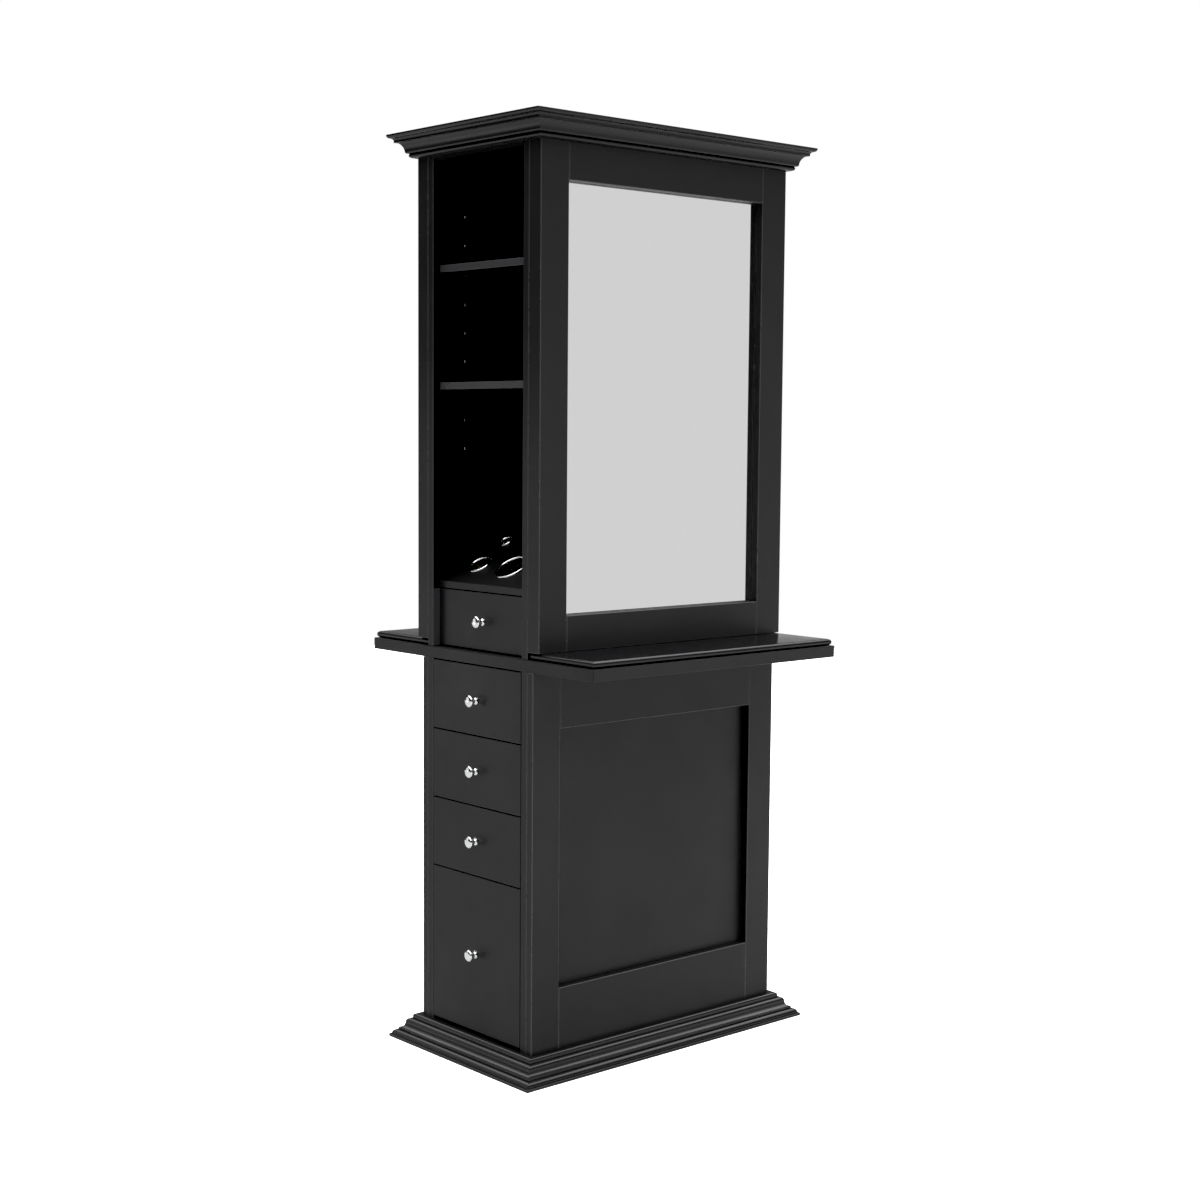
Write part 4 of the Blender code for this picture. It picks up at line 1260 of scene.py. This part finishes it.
class STATION_OT_drawer_boxes(bpy.types.Operator):
    """Joins the drawer boxes: finger-jointed and grooved birch ply walls, with a let-in bottom"""

    bl_idname = "station.drawer_boxes"
    bl_label = "Join the drawer boxes"

    def execute(self, context):
        for end, _ in ENDS:
            for number in DRAWERS:
                self.build(f"{end}_drawer_{number}")
        return {"FINISHED"}

    def build(self, drawer):
        low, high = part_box(f"{drawer}_box")
        wall = sizes().box_wall
        shape = bmesh.new()
        breaks = self.finger_breaks(low.z, high.z)
        groove = self.groove(low.z, high.z)
        levels = sorted(set(breaks + groove))
        lengths = [low.x, low.x + wall, high.x - wall, high.x]
        for side in (-1, 1):
            face = low.y if side < 0 else high.y
            layers = sorted((face, face - side * GROOVE_DEPTH, face - side * wall))
            outer_layer = 0 if side < 0 else 1

            def wood(i, j, k):
                middle = (levels[k] + levels[k + 1]) / 2
                finger = self.finger_number(middle, breaks) % 2 == 0
                if i != 1 and not finger:
                    return False
                return not (j == outer_layer and groove[0] < middle < groove[1])

            self.fill(shape, lengths, layers, levels, wood, 0)
        for start, stop in ((low.x, low.x + wall), (high.x - wall, high.x)):
            widths = [low.y, low.y + GROOVE_DEPTH, low.y + wall, high.y - wall, high.y - GROOVE_DEPTH, high.y]

            def wood(i, j, k):
                middle = (levels[k] + levels[k + 1]) / 2
                finger = self.finger_number(middle, breaks) % 2 == 1
                if j != 2 and not finger:
                    return False
                return not (j in (0, 4) and groove[0] < middle < groove[1])

            self.fill(shape, [start, stop], widths, levels, wood, 1)
        inside = space(f"{drawer}_inside")
        add_block(
            shape,
            (low.x + wall - LET_IN, low.y + wall - LET_IN, inside[0].z - BOX_BOTTOM),
            (high.x - wall + LET_IN, high.y - wall + LET_IN, inside[0].z),
            0,
        )
        finishes = [finish("birch ply along X"), finish("birch ply along Y")]
        finish_piece(f"{drawer}_case", shape, finishes, drawer, [f"{drawer}_box"])

    def finger_breaks(self, bottom, top):
        count = max(3, round((top - bottom) / sizes().finger))
        count += 1 - count % 2
        return [bottom + (top - bottom) * step / count for step in range(count + 1)]

    def finger_number(self, height, breaks):
        return sum(1 for level in breaks[1:-1] if height > level)

    def groove(self, bottom, top):
        """Lower and upper edge of the runner's groove."""
        centre = bottom + min((top - bottom) / 2, RUNNER_LEVEL)
        return [centre - GROOVE_BELOW, centre + GROOVE_ABOVE]

    def fill(self, shape, xs, ys, zs, wood, slot):
        """Skins the cells between the given planes that are wood."""

        def at(i, j, k):
            inside = 0 <= i < len(xs) - 1 and 0 <= j < len(ys) - 1 and 0 <= k < len(zs) - 1
            return inside and wood(i, j, k)

        corners = {}

        def corner(i, j, k):
            if (i, j, k) not in corners:
                corners[i, j, k] = shape.verts.new((xs[i], ys[j], zs[k]))
            return corners[i, j, k]

        for i in range(len(xs) - 1):
            for j in range(len(ys) - 1):
                for k in range(len(zs) - 1):
                    if not at(i, j, k):
                        continue
                    for axis in range(3):
                        for way in (0, 1):
                            beside = [i, j, k]
                            beside[axis] += 2 * way - 1
                            if at(*beside):
                                continue
                            quad = []
                            for first, second in ((0, 0), (1, 0), (1, 1), (0, 1)):
                                steps = [first, second]
                                steps.insert(axis, way)
                                quad.append(corner(i + steps[0], j + steps[1], k + steps[2]))
                            shape.faces.new(quad).material_index = slot


PIN_BELOW_SHELF = 0.0025  # from a shelf's lowest point up to the middle of its pins
PIN_INSET = 0.0715  # from a shelf's front or back edge to its pins
PIN_RADIUS = 0.0028
PIN_LENGTH = 0.0096
SLEEVE_RADIUS = 0.0040  # of the steel sleeve of a pin hole
UPPER_SHELF_ROW = 2  # rows of holes, counted from the uppermost
LOWER_SHELF_ROW = 6


class STATION_OT_shelf_hardware(bpy.types.Operator):
    """Sets the steel sleeves of the pin holes and the pins that carry the shelves"""

    bl_idname = "station.shelf_hardware"
    bl_label = "Set the shelf hardware"

    def execute(self, context):
        low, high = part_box("left_shelf_upper")
        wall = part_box("bottom_board")[1].y + CONTACT
        top_row = low.z + PIN_BELOW_SHELF + UPPER_SHELF_ROW * sizes().pin_pitch
        near, far = low.x + PIN_INSET, high.x - PIN_INSET
        columns = (near, far, -far, -near)
        points = []
        for x in columns:
            for side in (-1, 1):
                points.append(((x, side * wall, top_row), (0.0, -side, 0.0)))
        values = {"Rows": sizes().pin_rows, "Pitch": sizes().pin_pitch, "Upper Shelf Row": UPPER_SHELF_ROW}
        values |= {"Lower Shelf Row": LOWER_SHELF_ROW, "Sleeve Radius": SLEEVE_RADIUS}
        values |= {"Pin Radius": PIN_RADIUS, "Pin Length": PIN_LENGTH}
        values["Finish"] = finish("zinc-plated steel")
        made = follow_rule("shelf_hardware", marked_points("pin_columns", points), hardware_columns(), values)
        finish_piece("shelf_pins_and_sleeves", made, [], "cabinet", round_angle=STEEL_ROUNDING)
        return {"FINISHED"}


SCREW_SPREAD = 0.6  # place of the screws across a drawer, as a share of its half width
SCREW_INSET = 0.014  # above a drawer's bottom, and below its rim


class STATION_OT_screws(bpy.types.Operator):
    """Drives the screws that hold each drawer front to its box"""

    bl_idname = "station.screws"
    bl_label = "Drive the screws"

    def execute(self, context):
        tree = screw_pattern()
        for end, turn in ENDS:
            for number in DRAWERS:
                drawer = f"{end}_drawer_{number}"
                inside = space(f"{drawer}_inside")
                wall = inside[0].x if turn > 0 else inside[1].x
                across = SCREW_SPREAD * inside[1].y
                low, high = inside[0].z + SCREW_INSET, inside[1].z - SCREW_INSET
                points = []
                for y in (-across, across):
                    for z in (low, high):
                        points.append(((wall, y, z), (turn, 0.0, 0.0)))
                values = {"Head Radius": sizes().screw_head, "Finish": finish("zinc-plated steel")}
                made = follow_rule(f"{drawer}_screws", marked_points(f"{drawer}_marks", points), tree, values)
                finish_piece(f"{drawer}_screws", made, [], drawer, round_angle=STEEL_ROUNDING)
        return {"FINISHED"}


# Place, target and diameter of each light.
OVERHEAD_LIGHT = ((-0.6, -1.2, 4.6), (0.0, 0.0, 0.4), 4.6)
END_LIGHT = ((-1.9, 1.9, 0.9), (-0.3, 0.1, 0.7), 1.2)
# Brightness of the studio's walls from below to above, as (height of the view, level) steps.
FRONT_WALL = ((-1.0, 1.0), (0.125, 1.0), (0.17, 0.06), (0.50, 0.04), (0.72, 5.0))
END_WALL = ((-1.0, 0.8), (-0.34, 0.8), (-0.08, 0.08), (0.50, 0.04), (0.72, 5.0))
END_WAY = Vector((-0.61, 0.79, 0.0))  # towards the wall that the left end sees
CAMERA_WAY = (-0.62, -0.76, 0.0)  # towards the dark gap in the walls, where the camera stands
FLOOR_DROP = 0.0005  # keeps the studio floor below the station's feet
LENS = 57.2  # millimetres
SENSOR = 36.0
CLIP_END = 60.0
CAMERA_ANGLES = (-41.41, 5.058, -0.442)  # turn, tilt and roll in degrees
CAMERA_PLACE = (-2.885, -3.264, 1.384)


class STATION_OT_studio(bpy.types.Operator):
    """Sets the pale floor, the soft studio light and the camera"""

    bl_idname = "station.studio"
    bl_label = "Set the studio"

    def execute(self, context):
        studio = context.scene.station_studio
        self.floor(studio)
        self.surround(studio)
        self.light("overhead_softbox", *OVERHEAD_LIGHT, studio.overhead)
        strip = self.light("end_softbox", *END_LIGHT, studio.side)
        strip.visible_glossy = True
        self.camera()
        view = context.scene.view_settings
        view.view_transform = "Standard"
        view.use_curve_mapping = True
        view.curve_mapping.black_level = (studio.black_level,) * 3
        view.curve_mapping.update()
        return {"FINISHED"}

    def floor(self, studio):
        shape = bmesh.new()
        bmesh.ops.create_circle(shape, cap_ends=True, segments=96, radius=studio.floor_radius)
        mesh = bpy.data.meshes.new("studio_floor")
        shape.to_mesh(mesh)
        shape.free()
        material, tree, shader = new_finish("pale studio floor")
        mottle = linked(
            tree, "ShaderNodeTexNoise", {"Scale": 1.2, "Detail": 2.0}, {"Vector": coordinates(tree)}
        )
        shader.inputs["Roughness"].default_value = 0.9
        shader.inputs["Specular IOR Level"].default_value = 0.1
        path = linked(tree, "ShaderNodeLightPath")
        shown = path.outputs["Is Camera Ray"]
        # Painted light: as the station sees it, the floor is painted paler towards +X and -Y, a gradient that
        # stands for uneven light bounced onto it.
        parts = linked(tree, "ShaderNodeSeparateXYZ", links={0: coordinates(tree)})
        aside = reckoned(tree, "SUBTRACT", parts.outputs[0], parts.outputs[1])
        bounce = ranged(tree, aside, 0.75 * studio.floor_bounce, 1.25 * studio.floor_bounce, -2.5, 2.5)
        paleness = linked(
            tree, "ShaderNodeMix", {3: 0.9}, {0: shown, 2: bounce}, data_type="FLOAT"
        ).outputs[0]
        level = reckoned(tree, "MULTIPLY_ADD", mottle.outputs[0], 0.03, paleness)
        tone = linked(tree, "ShaderNodeCombineColor", links={channel: level for channel in range(3)})
        tree.links.new(tone.outputs[0], shader.inputs["Base Color"])
        shader.inputs["Emission Color"].default_value = (1.0, 1.0, 1.0, 1.0)
        tree.links.new(ranged(tree, shown, 0.0, studio.floor_glow), shader.inputs["Emission Strength"])
        mesh.materials.append(material)
        floor = bpy.data.objects.new("studio_floor", mesh)
        floor.location.z = -FLOOR_DROP
        bpy.context.scene.collection.objects.link(floor)

    def surround(self, studio):
        """White to the camera. To the station, walls whose tone changes with height, dark towards the camera."""
        world = bpy.data.worlds.new("studio")
        bpy.context.scene.world = world
        world.use_nodes = True
        tree = world.node_tree
        tree.nodes.clear()
        path = linked(tree, "ShaderNodeLightPath")
        place = linked(tree, "ShaderNodeTexCoord")
        parts = linked(tree, "ShaderNodeSeparateXYZ", links={0: place.outputs["Generated"]})
        toward_front = steps_up(tree, parts.outputs[2], FRONT_WALL)
        toward_end = steps_up(tree, parts.outputs[2], END_WALL)
        aside = linked(
            tree,
            "ShaderNodeVectorMath",
            {1: END_WAY},
            {0: place.outputs["Generated"]},
            operation="DOT_PRODUCT",
        )
        share = ranged(tree, aside.outputs["Value"], 0.0, 1.0, 0.0, 0.5)
        upward = linked(
            tree, "ShaderNodeMix", links={0: share, 2: toward_front, 3: toward_end}, data_type="FLOAT"
        )
        towards = Vector(CAMERA_WAY).normalized()
        gap = linked(
            tree,
            "ShaderNodeVectorMath",
            {1: towards},
            {0: place.outputs["Generated"]},
            operation="DOT_PRODUCT",
        )
        opening = ranged(tree, gap.outputs["Value"], studio.surround, 0.12 * studio.surround, 0.80, 0.95)
        level = reckoned(tree, "MULTIPLY", upward.outputs[0], opening)
        seen = linked(
            tree, "ShaderNodeMix", {3: 1.0}, {0: path.outputs["Is Camera Ray"], 2: level}, data_type="FLOAT"
        )
        background = linked(
            tree, "ShaderNodeBackground", {"Color": (1.0, 1.0, 1.0, 1.0)}, {"Strength": seen.outputs[0]}
        )
        linked(tree, "ShaderNodeOutputWorld", links={"Surface": background.outputs[0]})

    def light(self, name, place, target, size, power):
        light = bpy.data.lights.new(name, "AREA")
        light.shape = "DISK"
        light.size = size
        light.energy = power
        lamp = bpy.data.objects.new(name, light)
        lamp.location = place
        lamp.rotation_euler = (Vector(target) - Vector(place)).to_track_quat("-Z", "Y").to_euler()
        lamp.visible_glossy = False
        lamp.visible_camera = False
        bpy.context.scene.collection.objects.link(lamp)
        return lamp

    def camera(self):
        """A short telephoto lens at eye height, turned towards the left end and the front."""
        data = bpy.data.cameras.new("camera")
        data.lens = LENS
        data.sensor_width = SENSOR
        data.clip_end = CLIP_END
        turn, tilt, roll = (math.radians(angle) for angle in CAMERA_ANGLES)
        back = Vector((math.sin(turn) * math.cos(tilt), -math.cos(turn) * math.cos(tilt), math.sin(tilt)))
        right = Vector((math.cos(turn), math.sin(turn), 0.0))
        up = back.cross(right)
        level_right = right * math.cos(roll) - up * math.sin(roll)
        level_up = right * math.sin(roll) + up * math.cos(roll)
        camera = bpy.data.objects.new("camera", data)
        axes = Matrix((level_right, level_up, back)).transposed().to_4x4()
        camera.matrix_world = Matrix.Translation(CAMERA_PLACE) @ axes
        bpy.context.scene.collection.objects.link(camera)
        bpy.context.scene.camera = camera


STEPS = (
    STATION_OT_studio,
    STATION_OT_boards,
    STATION_OT_frames,
    STATION_OT_mirrors,
    STATION_OT_mouldings,
    STATION_OT_counter_tops,
    STATION_OT_tool_rings,
    STATION_OT_drawer_pulls,
    STATION_OT_drawer_boxes,
    STATION_OT_shelf_hardware,
    STATION_OT_screws,
)


class STATION_PT_panel(bpy.types.Panel):
    """Lists the station's steps and the sizes and colours they use"""

    bl_idname = "STATION_PT_panel"
    bl_label = "Salon styling station"
    bl_space_type = "VIEW_3D"
    bl_region_type = "UI"
    bl_category = "Station"

    def draw(self, context):
        for step in STEPS:
            self.layout.operator(step.bl_idname)
        for settings in (
            context.scene.station_sizes, context.scene.station_colours, context.scene.station_studio
        ):
            box = self.layout.box()
            for label in settings.__annotations__:
                box.prop(settings, label)


CLASSES = (StationSizes, StationColours, StudioSettings, *STEPS, STATION_PT_panel)


def register():
    for item in CLASSES:
        bpy.utils.register_class(item)
    bpy.types.Scene.station_sizes = bpy.props.PointerProperty(type=StationSizes)
    bpy.types.Scene.station_colours = bpy.props.PointerProperty(type=StationColours)
    bpy.types.Scene.station_studio = bpy.props.PointerProperty(type=StudioSettings)


def unregister():
    del bpy.types.Scene.station_studio
    del bpy.types.Scene.station_colours
    del bpy.types.Scene.station_sizes
    for item in reversed(CLASSES):
        bpy.utils.unregister_class(item)


def main():
    register()
    for step in STEPS:
        group, name = step.bl_idname.split(".")
        getattr(getattr(bpy.ops, group), name)()


if __name__ == "__main__":
    main()
